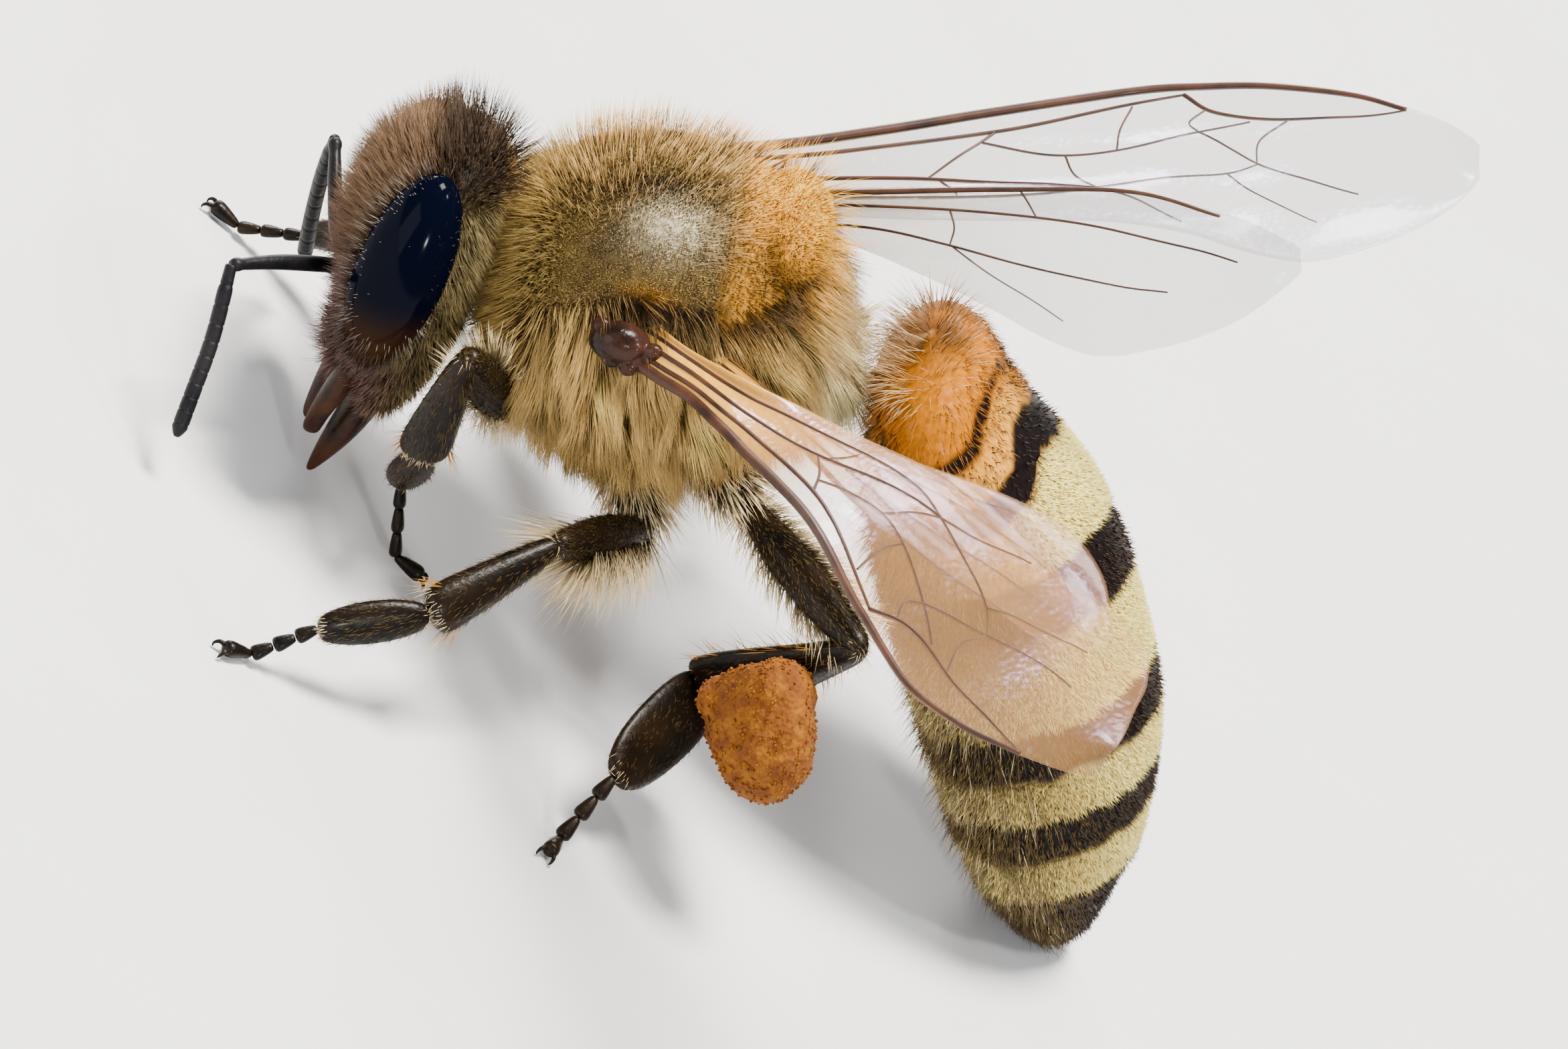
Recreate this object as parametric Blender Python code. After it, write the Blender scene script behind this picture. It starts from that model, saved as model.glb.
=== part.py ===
"""Honey bee worker with pollen loads, life size, as a still model on six feet and its abdomen tip.

The solids reach out to the tips of the coat. Lengths are in millimetres and turned into metres
when a mesh is made. The bee is laid out in its own axes (forward, left, up through the thorax)
and then pitched nose-down and lifted, so that the feet meet the floor at z = 0.
"""

import math

import bmesh
import bpy
from mathutils import Matrix, Vector

MM = 0.001
GAP = 0.05  # clearance between neighbouring solids

# How the whole bee stands.
THORAX_PITCH = 25.0  # nose-down
THORAX_HEIGHT = 4.28
ORIGIN_SHIFT = (2.5116, -1.1268)  # puts the origin under the middle of the bounding box

# Head: its own axes lean back a little and roll, the left side higher.
HEAD_CENTRE = (2.62, 0.0, -0.2)
HEAD_LEAN = 5.0
HEAD_ROLL = 15.0
# height in the head, forward offset, half thickness, half width
HEAD_SECTIONS = (
    (1.85, -0.2, 0.35, 0.6), (1.65, -0.2, 0.65, 1.05), (1.3, -0.12, 0.88, 1.4),
    (0.8, -0.02, 1.0, 1.62), (0.2, 0.03, 1.03, 1.68), (-0.4, 0.02, 0.96, 1.6),
    (-1.0, -0.03, 0.82, 1.35), (-1.45, -0.07, 0.64, 1.05), (-1.8, -0.08, 0.42, 0.7),
    (-1.95, -0.08, 0.25, 0.4),
)
EYE_CENTRE = (0.24, 1.38, 0.18)
EYE_RADII = (0.56, 0.5, 1.2)

# Thorax: forward position, half width, half height, height of the section's centre.
THORAX_SECTIONS = (
    (1.82, 0.55, 0.5, -0.05), (1.67, 1.08, 1.13, 0.0), (1.32, 1.54, 1.65, -0.03),
    (0.8, 1.89, 2.1, -0.1), (0.2, 2.08, 2.35, -0.14), (-0.45, 2.12, 2.38, -0.17),
    (-1.05, 2.0, 2.19, -0.16), (-1.55, 1.73, 1.84, -0.13), (-1.95, 1.36, 1.36, -0.25),
    (-2.2, 0.9, 0.85, -0.5), (-2.38, 0.5, 0.5, -0.72), (-2.75, 0.32, 0.34, -0.85),
)
SCUTELLUM_CENTRE = (-1.5, 0.0, 1.2)
SCUTELLUM_RADII = (0.5, 1.15, 0.5)
TEGULA_CENTRE = (0.25, 1.95, 0.35)
TEGULA_RADII = (0.42, 0.22, 0.3)

# Abdomen: axes start at the waist; distance along it, centre height, half height, half width.
WAIST = (-2.35, 0.0, -0.9)
ABDOMEN_DROOP = 63.0
ABDOMEN_SECTIONS = (
    (-0.95, 1.5, 0.25, 0.45), (-0.75, 1.42, 0.5, 0.95), (-0.4, 1.3, 0.8, 1.4),
    (0.05, 1.22, 0.98, 1.65), (0.6, 1.2, 1.12, 1.8), (1.2, 1.22, 1.26, 1.9),
    (2.0, 1.31, 1.43, 1.95), (3.0, 1.36, 1.52, 2.0), (4.1, 1.34, 1.52, 1.97),
    (5.1, 1.29, 1.47, 1.86), (5.8, 1.18, 1.34, 1.7), (6.5, 1.06, 1.16, 1.42),
    (7.1, 0.92, 0.9, 1.08), (7.5, 0.84, 0.65, 0.8), (7.8, 0.8, 0.42, 0.52),
    (8.02, 0.78, 0.2, 0.28),
)
ABDOMEN_JOINTS = (-0.95, 0.05, 1.2, 3.0, 5.1, 6.5, 8.02)

# Wings: distance along the blade, leading edge and trailing edge, in the blade's own plane.
WING_THICKNESS = 0.5
WING_CAMBER = 0.05  # rise of the middle of a section, as a share of its width
FOREWING_SECTIONS = (
    (-0.1, -0.2, 0.3), (1.0, -0.28, 0.45), (2.2, -0.52, 0.66), (3.2, -0.8, 0.76),
    (4.2, -1.07, 0.82), (5.2, -1.32, 0.87), (6.1, -1.43, 1.15), (6.8, -1.46, 1.58),
    (7.45, -1.38, 1.8), (8.1, -1.18, 1.57), (8.7, -0.84, 1.18), (9.15, -0.5, 0.72),
    (9.4, -0.2, 0.35), (9.5, 0.0, 0.12),
)
# the near blade is swung back about its root
SWUNG_FOREWING_SECTIONS = (
    (-0.1, -0.15, 0.25), (0.5, 0.02, 0.34), (1.0, 0.17, 0.52), (1.6, 0.12, 0.74),
    (2.2, 0.04, 0.94), (3.2, -0.18, 1.12), (4.2, -0.42, 1.34), (5.2, -0.66, 1.45),
    (6.1, -0.78, 1.72), (6.8, -0.84, 2.06), (7.45, -0.84, 2.2), (8.1, -0.58, 1.84),
    (8.6, -0.22, 1.36), (9.0, 0.14, 0.98), (9.22, 0.4, 0.74), (9.3, 0.52, 0.62),
)
HINDWING_SECTIONS = (
    (-0.1, -0.15, 0.3), (1.2, -0.06, 0.42), (2.3, -0.06, 0.89), (3.07, -0.06, 1.32),
    (3.7, -0.05, 1.7), (4.3, -0.02, 1.93), (4.9, 0.06, 1.86), (5.5, 0.25, 1.69),
    (6.0, 0.42, 1.44), (6.4, 0.64, 1.12), (6.62, 0.78, 0.9),
)
# root, direction of the blade, direction from leading to trailing edge, then the rise of the
# blade's arch; the left wings arch over the abdomen
WINGS = {
    "forewing_right": ((0.1, -1.75, 0.35), (-0.97, -0.06, 0.23), (0.0, 1.0, 0.0), 0.0),
    "hindwing_right": ((-0.75, -1.45, 0.4), (-0.965, 0.0, 0.26), (0.0, 0.83, -0.54), 0.0),
    "forewing_left": ((0.1, 1.75, 0.35), (-0.541, 0.837, 0.089), (-0.83, -0.55, -0.091), 0.5),
    "hindwing_left": ((-0.86, 1.85, 0.34), (-0.546, 0.83, 0.11), (-0.83, -0.52, -0.18), 0.2),
}
ARCH_PEAK, ARCH_SPREAD = 4.8, 2.2  # where along the blade the arch is highest, and its reach

# Legs: root under the thorax, then for the coxa, femur, tibia and basitarsus the length, the
# heading and the slope; the last pair is the tarsus's length and heading, as it ends on the floor.
LEGS = {
    "front_left": ((1.35, 0.45, -1.35), (0.5, 106, -11), (1.9, 44, 31), (1.7, -148, -70),
                   (1.15, -113, -48), (0.95, 170)),
    "front_right": ((1.35, -0.45, -1.35), (0.5, -106, -11), (1.7, -40, 20), (1.6, -75, -68),
                    (1.1, -40, -50), (0.85, -20)),
    "mid_left": ((-0.1, 0.6, -1.6), (1.2, 141, -28), (2.15, 53, 5), (1.75, 49, -38),
                 (1.3, 23, -32), (0.8, 28)),
    "mid_right": ((-0.1, -0.6, -1.6), (1.2, -141, -28), (2.1, -62, 16), (1.8, -72, -66),
                  (1.3, -60, -35), (0.8, -50)),
    "hind_left": ((-0.85, 0.6, -1.4), (1.2, 135, 2), (2.5, 126, 9), (2.7, -67, -59),
                  (1.85, 67, -22), (0.95, 72)),
    "hind_right": ((-0.85, -0.6, -1.4), (1.1, -135, -4), (2.4, -122, 8), (2.7, -60, -62),
                   (1.8, -125, -22), (0.95, -115)),
}
# half width and half thickness at five places down each segment
COXA = ((0.3, 0.3), (0.38, 0.36), (0.38, 0.36), (0.32, 0.3), (0.24, 0.24))
THIGH = ((0.18, 0.18), (0.3, 0.27), (0.34, 0.3), (0.3, 0.27), (0.2, 0.2))
SHIN = ((0.18, 0.18), (0.27, 0.25), (0.33, 0.27), (0.38, 0.28), (0.3, 0.22))
HIND_SHIN = ((0.2, 0.2), (0.3, 0.25), (0.45, 0.27), (0.58, 0.27), (0.55, 0.22))
SOLE = ((0.16, 0.15), (0.28, 0.2), (0.32, 0.2), (0.28, 0.18), (0.16, 0.14))
HIND_SOLE = ((0.35, 0.18), (0.52, 0.22), (0.52, 0.22), (0.46, 0.2), (0.25, 0.15))
TOES = (0.12, 0.14, 0.13, 0.14)
FOOT = (0.16, 0.17, 0.13)  # the last toe, which lies along the floor
FOOT_RISE = 0.12  # height of its middle, so that the floor cuts a flat under it
FOOT_LENGTH = 0.4
LOAD_OFFSET = (-0.08, 0.86, -0.4)  # from the middle of the hind shin, outwards and down
LOAD_HANG = (-0.57, 0.66, -0.5)  # the way the pellet hangs from the shin
# distance down the pellet, half width along the shin, half depth
LOAD_SECTIONS = (
    (-0.92, 0.4, 0.3), (-0.82, 0.64, 0.46), (-0.5, 0.82, 0.58), (-0.1, 0.84, 0.62),
    (0.25, 0.73, 0.58), (0.52, 0.56, 0.48), (0.7, 0.36, 0.32), (0.78, 0.16, 0.15),
)

COLOURS = {
    "fur": (0.45, 0.30, 0.13), "face": (0.20, 0.15, 0.10), "eye": (0.01, 0.01, 0.02),
    "shell": (0.03, 0.02, 0.015), "amber": (0.55, 0.24, 0.05), "band": (0.35, 0.27, 0.16),
    "wing": (0.55, 0.52, 0.48), "pollen": (0.70, 0.30, 0.03),
}


def clear_scene():
    for obj in list(bpy.data.objects):
        bpy.data.objects.remove(obj, do_unlink=True)


def collection(name):
    made = bpy.data.collections.new(name)
    bpy.context.scene.collection.children.link(made)
    return made


clear_scene()
BEE = collection("honey_bee")
TOOLS = collection("cutters")
STAND = (
    Matrix.Translation((ORIGIN_SHIFT[0], ORIGIN_SHIFT[1], THORAX_HEIGHT))
    @ Matrix.Rotation(math.radians(THORAX_PITCH), 4, "Y")
)


def paint(obj, colour, roughness=0.6):
    """Each node has a plain material of its own."""
    material = bpy.data.materials.new(obj.name)
    material.use_nodes = True
    shader = material.node_tree.nodes["Principled BSDF"]
    shader.inputs["Base Color"].default_value = (*COLOURS[colour], 1.0)
    shader.inputs["Roughness"].default_value = roughness
    material.diffuse_color = (*COLOURS[colour], 1.0)
    obj.data.materials.clear()
    obj.data.materials.append(material)


def add_mesh(name, points, faces, colour):
    """A closed mesh from points in world millimetres."""
    mesh = bpy.data.meshes.new(name)
    mesh.from_pydata([Vector(p) * MM for p in points], [], faces)
    edit = bmesh.new()
    edit.from_mesh(mesh)
    bmesh.ops.recalc_face_normals(edit, faces=edit.faces)
    edit.to_mesh(mesh)
    edit.free()
    mesh.polygons.foreach_set("use_smooth", [True] * len(mesh.polygons))
    obj = bpy.data.objects.new(name, mesh)
    BEE.objects.link(obj)
    paint(obj, colour)
    return obj


def oval(centre, across, up, half_across, half_up, count):
    """Points of an ellipse round centre."""
    turns = [2 * math.pi * (i + 0.5) / count for i in range(count)]
    return [centre + across * (half_across * math.cos(t)) + up * (half_up * math.sin(t))
            for t in turns]


def loft(name, rings, colour):
    """Skin over rings of equally many points, with flat ends."""
    count = len(rings[0])
    points = [p for ring in rings for p in ring]
    faces = [list(range(count))[::-1], list(range(len(points) - count, len(points)))]
    for row in range(len(rings) - 1):
        for i in range(count):
            a, b = row * count + i, row * count + (i + 1) % count
            faces.append([a, b, b + count, a + count])
    return add_mesh(name, points, faces, colour)


def ball(name, frame, centre, radii, colour, segments=16, rings=10):
    """An ellipsoid in the axes of frame."""
    bpy.ops.mesh.primitive_uv_sphere_add(segments=segments, ring_count=rings, radius=1.0)
    obj = bpy.context.object
    obj.name = obj.data.name = name
    place = frame @ Matrix.Translation(centre) @ Matrix.Diagonal((*radii, 1.0))
    obj.data.transform(Matrix.Diagonal((MM, MM, MM, 1.0)) @ place)
    for owner in list(obj.users_collection):
        owner.objects.unlink(obj)
    BEE.objects.link(obj)
    obj.data.polygons.foreach_set("use_smooth", [True] * len(obj.data.polygons))
    paint(obj, colour)
    return obj


def cutter(obj, grow=GAP):
    """A helper the shape of obj, swollen by the clearance."""
    mesh = obj.data.copy()
    normals = [v.normal.copy() for v in mesh.vertices]
    for vertex, normal in zip(mesh.vertices, normals):
        vertex.co += normal * (grow * MM)
    made = bpy.data.objects.new("cut_by_" + obj.name, mesh)
    TOOLS.objects.link(made)
    made.hide_render = True
    made.display_type = "WIRE"
    return made


def cut(obj, *tools):
    """Takes the tools away from obj, and keeps the result as its mesh."""
    for tool in tools:
        modifier = obj.modifiers.new("cut", "BOOLEAN")
        modifier.operation = "DIFFERENCE"
        modifier.solver = "EXACT"
        modifier.object = tool
    graph = bpy.context.evaluated_depsgraph_get()
    mesh = bpy.data.meshes.new_from_object(obj.evaluated_get(graph))
    obj.modifiers.clear()
    old, obj.data = obj.data, mesh
    mesh.name = obj.name
    bpy.data.meshes.remove(old)
    colour = bpy.data.materials[obj.name]
    mesh.materials.clear()
    mesh.materials.append(colour)
    mesh.polygons.foreach_set("use_smooth", [True] * len(mesh.polygons))


def level_foot(obj):
    """Cuts the part flat at the floor."""
    edit = bmesh.new()
    edit.from_mesh(obj.data)
    everything = edit.verts[:] + edit.edges[:] + edit.faces[:]
    cut_at = bmesh.ops.bisect_plane(
        edit, geom=everything, dist=1e-7, plane_co=(0, 0, 0), plane_no=(0, 0, -1), clear_outer=True
    )
    rim = [e for e in cut_at["geom_cut"] if isinstance(e, bmesh.types.BMEdge)]
    bmesh.ops.edgeloop_fill(edit, edges=rim)
    bmesh.ops.recalc_face_normals(edit, faces=edit.faces)
    edit.to_mesh(obj.data)
    edit.free()


def make_thorax():
    across, up = STAND.to_3x3() @ Vector((0, 1, 0)), STAND.to_3x3() @ Vector((0, 0, 1))
    rings = [oval(STAND @ Vector((f, 0, c)), across, up, w, h, 20)
             for f, w, h, c in THORAX_SECTIONS]
    thorax = loft("thorax", rings, "fur")
    keep_off = cutter(thorax)
    scutellum = ball("scutellum", STAND, SCUTELLUM_CENTRE, SCUTELLUM_RADII, "fur")
    cut(scutellum, keep_off)
    parts = [keep_off, cutter(scutellum)]
    for side, sign in (("left", 1), ("right", -1)):
        x, y, z = TEGULA_CENTRE
        tegula = ball("tegula_" + side, STAND, (x, sign * y, z), TEGULA_RADII, "shell", 12, 8)
        cut(tegula, keep_off)
        parts.append(cutter(tegula))
    return parts


def head_frame():
    lean = Matrix.Rotation(math.radians(-HEAD_LEAN), 4, "Y")
    roll = Matrix.Rotation(math.radians(HEAD_ROLL), 4, "X")
    return STAND @ Matrix.Translation(HEAD_CENTRE) @ lean @ roll


def make_head(thorax):
    frame = head_frame()
    forward, left = frame.to_3x3() @ Vector((1, 0, 0)), frame.to_3x3() @ Vector((0, 1, 0))
    rings = [oval(frame @ Vector((f, 0, h)), left, forward, w, t, 20)
             for h, f, t, w in HEAD_SECTIONS]
    head = loft("head", rings, "face")
    for side, sign in (("left", 1), ("right", -1)):
        x, y, z = EYE_CENTRE
        eye = ball("eye_" + side, frame, (x, sign * y, z), EYE_RADII, "eye", 16, 12)
        cut(head, cutter(eye))
    cut(head, thorax)
    keep_off = cutter(head)
    for side, sign in (("left", 1), ("right", -1)):
        jaw = [oval(frame @ Vector((f, sign * y, h)), left, forward, w, t, 10)
               for h, f, y, w, t in ((-1.45, 0.4, 0.5, 0.26, 0.2), (-1.8, 0.48, 0.44, 0.26, 0.22),
                                     (-2.15, 0.55, 0.33, 0.2, 0.18), (-2.4, 0.58, 0.24, 0.12, 0.12))]
        cut(loft("mandible_" + side, jaw, "shell"), keep_off)
    tongue = [oval(frame @ Vector((f, 0.0, h)), left, forward, w, t, 10)
              for h, f, w, t in ((-1.6, 0.0, 0.45, 0.3), (-2.1, 0.12, 0.38, 0.3),
                                 (-2.5, 0.27, 0.27, 0.25), (-2.95, 0.45, 0.14, 0.14))]
    beak = loft("proboscis", tongue, "shell")
    cut(beak, keep_off, cutter(bpy.data.objects["mandible_left"]),
        cutter(bpy.data.objects["mandible_right"]))
    return keep_off


def tube(name, points, radii, colour, count=8):
    """A round limb through points, in world millimetres."""
    rings = []
    side = Vector((0, 0, 1))
    for i, p in enumerate(points):
        along = (points[min(i + 1, len(points) - 1)] - points[max(i - 1, 0)]).normalized()
        across = along.cross(side)
        if across.length < 0.3:
            across = along.cross(Vector((0, 1, 0)))
        across.normalize()
        rings.append(oval(p, across, along.cross(across), radii[i], radii[i], count))
    return loft(name, rings, colour)


# Feelers: points of the scape and the flagellum, in the bee's axes.
SCAPES = {
    "left": ((3.45, 0.28, -0.45), (3.68, 0.3, -0.45), (4.2, 0.68, -0.3), (4.7, 1.05, -0.22)),
    "right": ((3.3, -0.25, -0.5), (3.5, -0.31, -0.49), (3.66, -0.83, -0.15), (3.77, -1.34, 0.2)),
}
FLAGELLA = {
    "left": ((4.7, 1.05, -0.22), (4.74, 1.58, -0.87), (4.83, 2.0, -1.34), (4.92, 2.36, -1.79)),
    "right": ((3.77, -1.34, 0.2), (3.8, -1.68, -0.55), (3.79, -2.0, -1.34), (3.75, -2.31, -2.14)),
}


def make_feelers(head):
    for side in ("left", "right"):
        scape = [STAND @ Vector(p) for p in SCAPES[side]]
        whip = [STAND @ Vector(p) for p in FLAGELLA[side]]
        upper = tube("scape_" + side, scape, (0.2, 0.25, 0.25, 0.25), "shell")
        cut(upper, head)
        lower = tube("flagellum_" + side, whip, (0.25, 0.25, 0.25, 0.25), "shell")
        cut(lower, cutter(upper), head)


def make_abdomen(thorax_parts):
    lean = math.radians(ABDOMEN_DROOP)
    turn = STAND.to_3x3()
    along = Vector((-math.cos(lean), 0, -math.sin(lean)))
    up = Vector((-math.sin(lean), 0, math.cos(lean)))
    parts = []
    for number in range(6):
        start, end = ABDOMEN_JOINTS[number] + GAP / 2, ABDOMEN_JOINTS[number + 1] - GAP / 2
        inside = [s for s in ABDOMEN_SECTIONS if start + 0.02 < s[0] < end - 0.02]
        sections = [section_at(start), *inside, section_at(end)]
        rings = [oval(STAND @ (Vector(WAIST) + along * s + up * c), turn @ Vector((0, 1, 0)),
                      turn @ up, w, h, 20) for s, c, h, w in sections]
        name = "abdomen_%d" % (number + 1)
        part = loft(name, rings, "amber" if number < 2 else "band")
        if number < 2:
            cut(part, *thorax_parts)
        parts.append(part)
    level_foot(parts[-1])
    return parts


def section_at(s):
    """The abdomen's section at s, between the ones that are given."""
    pairs = list(zip(ABDOMEN_SECTIONS, ABDOMEN_SECTIONS[1:]))
    for first, second in pairs:
        if s <= second[0] or second is ABDOMEN_SECTIONS[-1]:
            t = min(max((s - first[0]) / (second[0] - first[0]), 0.0), 1.0)
            return tuple(a + (b - a) * t for a, b in zip(first, second))


def make_wing(name, sections, away_from):
    """A blade of even thickness, cambered across and arched along its length."""
    root, along, chord = (Vector(v) for v in WINGS[name][:3])
    rise = WINGS[name][3]
    along.normalize()
    chord = (chord - along * chord.dot(along)).normalized()
    normal = along.cross(chord)
    half = WING_THICKNESS / 2
    rings = []
    for u, lead, trail in sections:
        arch = rise * math.exp(-(((u - ARCH_PEAK) / ARCH_SPREAD) ** 2))
        middle = (lead + trail) / 2
        ring = [(lead, arch), (middle, arch + WING_CAMBER * (trail - lead)), (trail, arch)]
        both = [(v, h + half) for v, h in ring] + [(v, h - half) for v, h in reversed(ring)]
        rings.append([STAND @ (root + along * u + chord * v + normal * h) for v, h in both])
    wing = loft(name, rings, "wing")
    cut(wing, *away_from)
    return wing


def limb(name, start, end, sections, outward, colour):
    """A leg segment from start to end, its wide way across outward."""
    along = (end - start).normalized()
    thin = (outward - along * outward.dot(along)).normalized()
    wide = along.cross(thin)
    span = (end - start).length
    rings = []
    for i, (w, t) in enumerate(sections):
        at = start + along * (GAP / 2 + (span - GAP) * i / (len(sections) - 1))
        rings.append(oval(at, wide, thin, w, t, 8))
    return loft(name, rings, colour)


def make_toes(name, start, bend, heading, colour):
    """The toe joints down to the bend, then the foot along the floor."""
    flat = direction(heading, 0)
    along = (bend - start).normalized()
    across = Vector((0, 0, 1)).cross(flat).normalized()
    slope = [(start + along * GAP / 2).lerp(bend, i / 4) for i in range(4)]
    rings = [oval(p, across, along.cross(across), r, r, 8) for p, r in zip(slope, TOES)]
    level = [bend + flat * (FOOT_LENGTH * t) for t in (0.05, 0.5, 1.0)]
    rings += [oval(p, across, flat.cross(across), r, r, 8) for p, r in zip(level, FOOT)]
    return loft(name, rings, colour)


def direction(heading, slope):
    h, e = math.radians(heading), math.radians(slope)
    return Vector((math.cos(e) * math.cos(h), math.cos(e) * math.sin(h), math.sin(e)))


def make_leg(name, blocks):
    root, coxa, femur, tibia, sole, toes = LEGS[name]
    hind = name.startswith("hind")
    outward = Vector((0, 1 if name.endswith("left") else -1, 0.3)).normalized()
    at = STAND @ Vector(root)
    knots = [at]
    for length, heading, slope in (coxa, femur, tibia, sole):
        knots.append(knots[-1] + direction(heading, slope) * length)
    length, heading = toes
    drop = -math.degrees(math.asin((knots[-1].z - FOOT_RISE) / length))
    knots.append(knots[-1] + direction(heading, drop) * length)
    shapes = (COXA, THIGH, HIND_SHIN if hind else SHIN, HIND_SOLE if hind else SOLE, None)
    before = list(blocks)
    made = []
    for kind, shape, start, end in zip(
        ("coxa", "femur", "tibia", "basitarsus", "tarsus"), shapes, knots, knots[1:]
    ):
        if shape:
            part = limb(kind + "_" + name, start, end, shape, outward, "shell")
        else:
            part = make_toes(kind + "_" + name, start, end, heading, "shell")
        keep_off = cutter(part)
        cut(part, *before)
        before.append(keep_off)
        made.append(part)
    level_foot(made[-1])
    if hind:
        make_load(name, (knots[2] + knots[3]) / 2, knots, made)
    return made


def make_load(leg, middle, knots, made):
    """The pellet of pollen in the basket on the outside of the hind shin."""
    side = leg.split("_")[1]
    outwards = Matrix.Diagonal((1, 1 if side == "left" else -1, 1))
    centre = middle + outwards @ Vector(LOAD_OFFSET)
    shin = (knots[3] - knots[2]).normalized()
    hang = outwards @ Vector(LOAD_HANG)
    hang = (hang - shin * hang.dot(shin)).normalized()
    rings = [oval(centre + hang * h, shin, hang.cross(shin), w, t, 14) for h, w, t in LOAD_SECTIONS]
    load = loft("pollen_load_" + side, rings, "pollen")
    cut(load, cutter(made[1]), cutter(made[2]), cutter(made[3]))


def build():
    thorax_parts = make_thorax()
    head = make_head(thorax_parts[0])
    make_feelers(head)
    abdomen = make_abdomen(thorax_parts)
    blocks = thorax_parts + [cutter(part) for part in abdomen]
    for name in ("front_left", "front_right", "mid_left", "mid_right", "hind_left", "hind_right"):
        make_leg(name, blocks)
    for side, blade in (("left", SWUNG_FOREWING_SECTIONS), ("right", FOREWING_SECTIONS)):
        fore = make_wing("forewing_" + side, blade, blocks)
        make_wing("hindwing_" + side, HINDWING_SECTIONS, blocks + [cutter(fore)])


build()
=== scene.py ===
# %% [markdown]
# # A honey bee, dressed
# The solids of the bee are already there, as a plain frame: they give its true size and
# outline, out to the tips of its coat. This lesson puts a real surface on them: skins that lie
# inside the solids by the depth of the coat, glassy eyes, thin veined wings, jointed legs, and a
# coat of many thousand small hairs. We load the frame first and keep its size.

# %% Load the solids
import math

import bpy
import numpy as np
from mathutils import Matrix, Vector


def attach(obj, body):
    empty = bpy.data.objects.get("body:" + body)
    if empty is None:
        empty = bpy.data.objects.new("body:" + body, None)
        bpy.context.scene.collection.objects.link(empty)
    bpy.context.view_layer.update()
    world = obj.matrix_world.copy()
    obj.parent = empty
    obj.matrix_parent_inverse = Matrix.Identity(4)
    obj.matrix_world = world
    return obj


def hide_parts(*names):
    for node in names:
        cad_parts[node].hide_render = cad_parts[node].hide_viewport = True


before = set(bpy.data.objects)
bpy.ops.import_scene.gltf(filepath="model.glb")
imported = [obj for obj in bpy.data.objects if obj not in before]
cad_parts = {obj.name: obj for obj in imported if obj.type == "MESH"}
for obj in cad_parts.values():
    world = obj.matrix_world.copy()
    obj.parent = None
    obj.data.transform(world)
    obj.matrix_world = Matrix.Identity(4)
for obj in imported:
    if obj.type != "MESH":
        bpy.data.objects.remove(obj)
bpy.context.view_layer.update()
print("solids:", len(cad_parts))

# %% [markdown]
# The bee is modelled in millimetres, in axes of its own: forward, left, and up through its back.
# One matrix tips these axes nose-down and lifts the thorax above the floor. A second one places
# the head, which leans back and rolls a little, and a third runs down the abdomen from the waist.
# With them, every number below is a size that could be measured on a bee.

# %% The bee's own axes
MM = 0.001
THORAX_PLACE = (2.5116, -1.1268, 4.28)
NECK, WAIST = (2.62, 0.0, -0.2), (-2.35, 0.0, -0.9)
DROOP = math.radians(63.0)  # how far the abdomen hangs below the thorax's own axis
SIDES = (("left", 1), ("right", -1))


def tilt(degrees, axis):
    return Matrix.Rotation(math.radians(degrees), 4, axis)


def axes(x, y, z, origin):
    """The matrix that places a shape by three directions and an origin."""
    place = Matrix((x, y, z)).transposed().to_4x4()
    place.translation = origin
    return place


def square_to(way, other):
    """The part of a direction that is square to another, as a unit vector."""
    return (way - other * way.dot(other)).normalized()


BEE = Matrix.Translation(THORAX_PLACE) @ tilt(25.0, "Y")
HEAD = BEE @ Matrix.Translation(NECK) @ tilt(-5.0, "Y") @ tilt(15.0, "X")
ALONG = Vector((-math.cos(DROOP), 0.0, -math.sin(DROOP)))
RISE = Vector((-math.sin(DROOP), 0.0, math.cos(DROOP)))
ABDOMEN = BEE @ axes((0, 1, 0), (-RISE.x, 0, -RISE.z), ALONG, WAIST)
LENGTHWISE = BEE @ axes((0, 1, 0), (0, 0, 1), (1, 0, 0), (0, 0, 0))
print("abdomen starts at", [round(v, 2) for v in ABDOMEN.translation])

# %% [markdown]
# A round body part is lofted as a potter would coil it: a disc is added, its face is extruded to
# the next station, and the new rim is resized there. A Subdivision Surface modifier then rounds
# the stations into one smooth form. Edit tools may store points and faces in another order on
# each run, so they are put in order by their place: hairs drawn from the faces then come out the
# same every time. Each skin also gets an unwrap of its own shape, the angle round it against the
# distance along it, which the hairs will need for their place on it.


# %% Select, edit and read a mesh
def use(*objects):
    """Selects these objects alone, and makes the first one active."""
    if bpy.context.mode != "OBJECT":
        bpy.ops.object.mode_set(mode="OBJECT")
    bpy.ops.object.select_all(action="DESELECT")
    for obj in objects:
        obj.select_set(True)
    if objects:
        bpy.context.view_layer.objects.active = objects[0]


def edit(obj, tool, **settings):
    """Runs one edit-mode tool on the whole mesh."""
    use(obj)
    bpy.ops.object.mode_set(mode="EDIT")
    bpy.ops.mesh.select_all(action="SELECT")
    tool(**settings)
    bpy.ops.object.mode_set(mode="OBJECT")


def face_outwards(obj):
    edit(obj, bpy.ops.mesh.normals_make_consistent, inside=False)


def modify(obj, kind, **settings):
    """Adds a modifier and applies it."""
    use(obj)
    modifier = obj.modifiers.new(kind.lower(), kind)
    for field, value in settings.items():
        setattr(modifier, field, value)
    bpy.ops.object.modifier_apply(modifier=modifier.name)


def named(obj, name):
    obj.name = obj.data.name = name
    return obj


def dress(obj, material):
    obj.data.materials.clear()
    obj.data.materials.append(material)


def settle(obj, place):
    """Puts the shape, modelled in millimetres, at its place in metres."""
    obj.data.transform(Matrix.Scale(MM, 4) @ place)
    obj.data.update()


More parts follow.
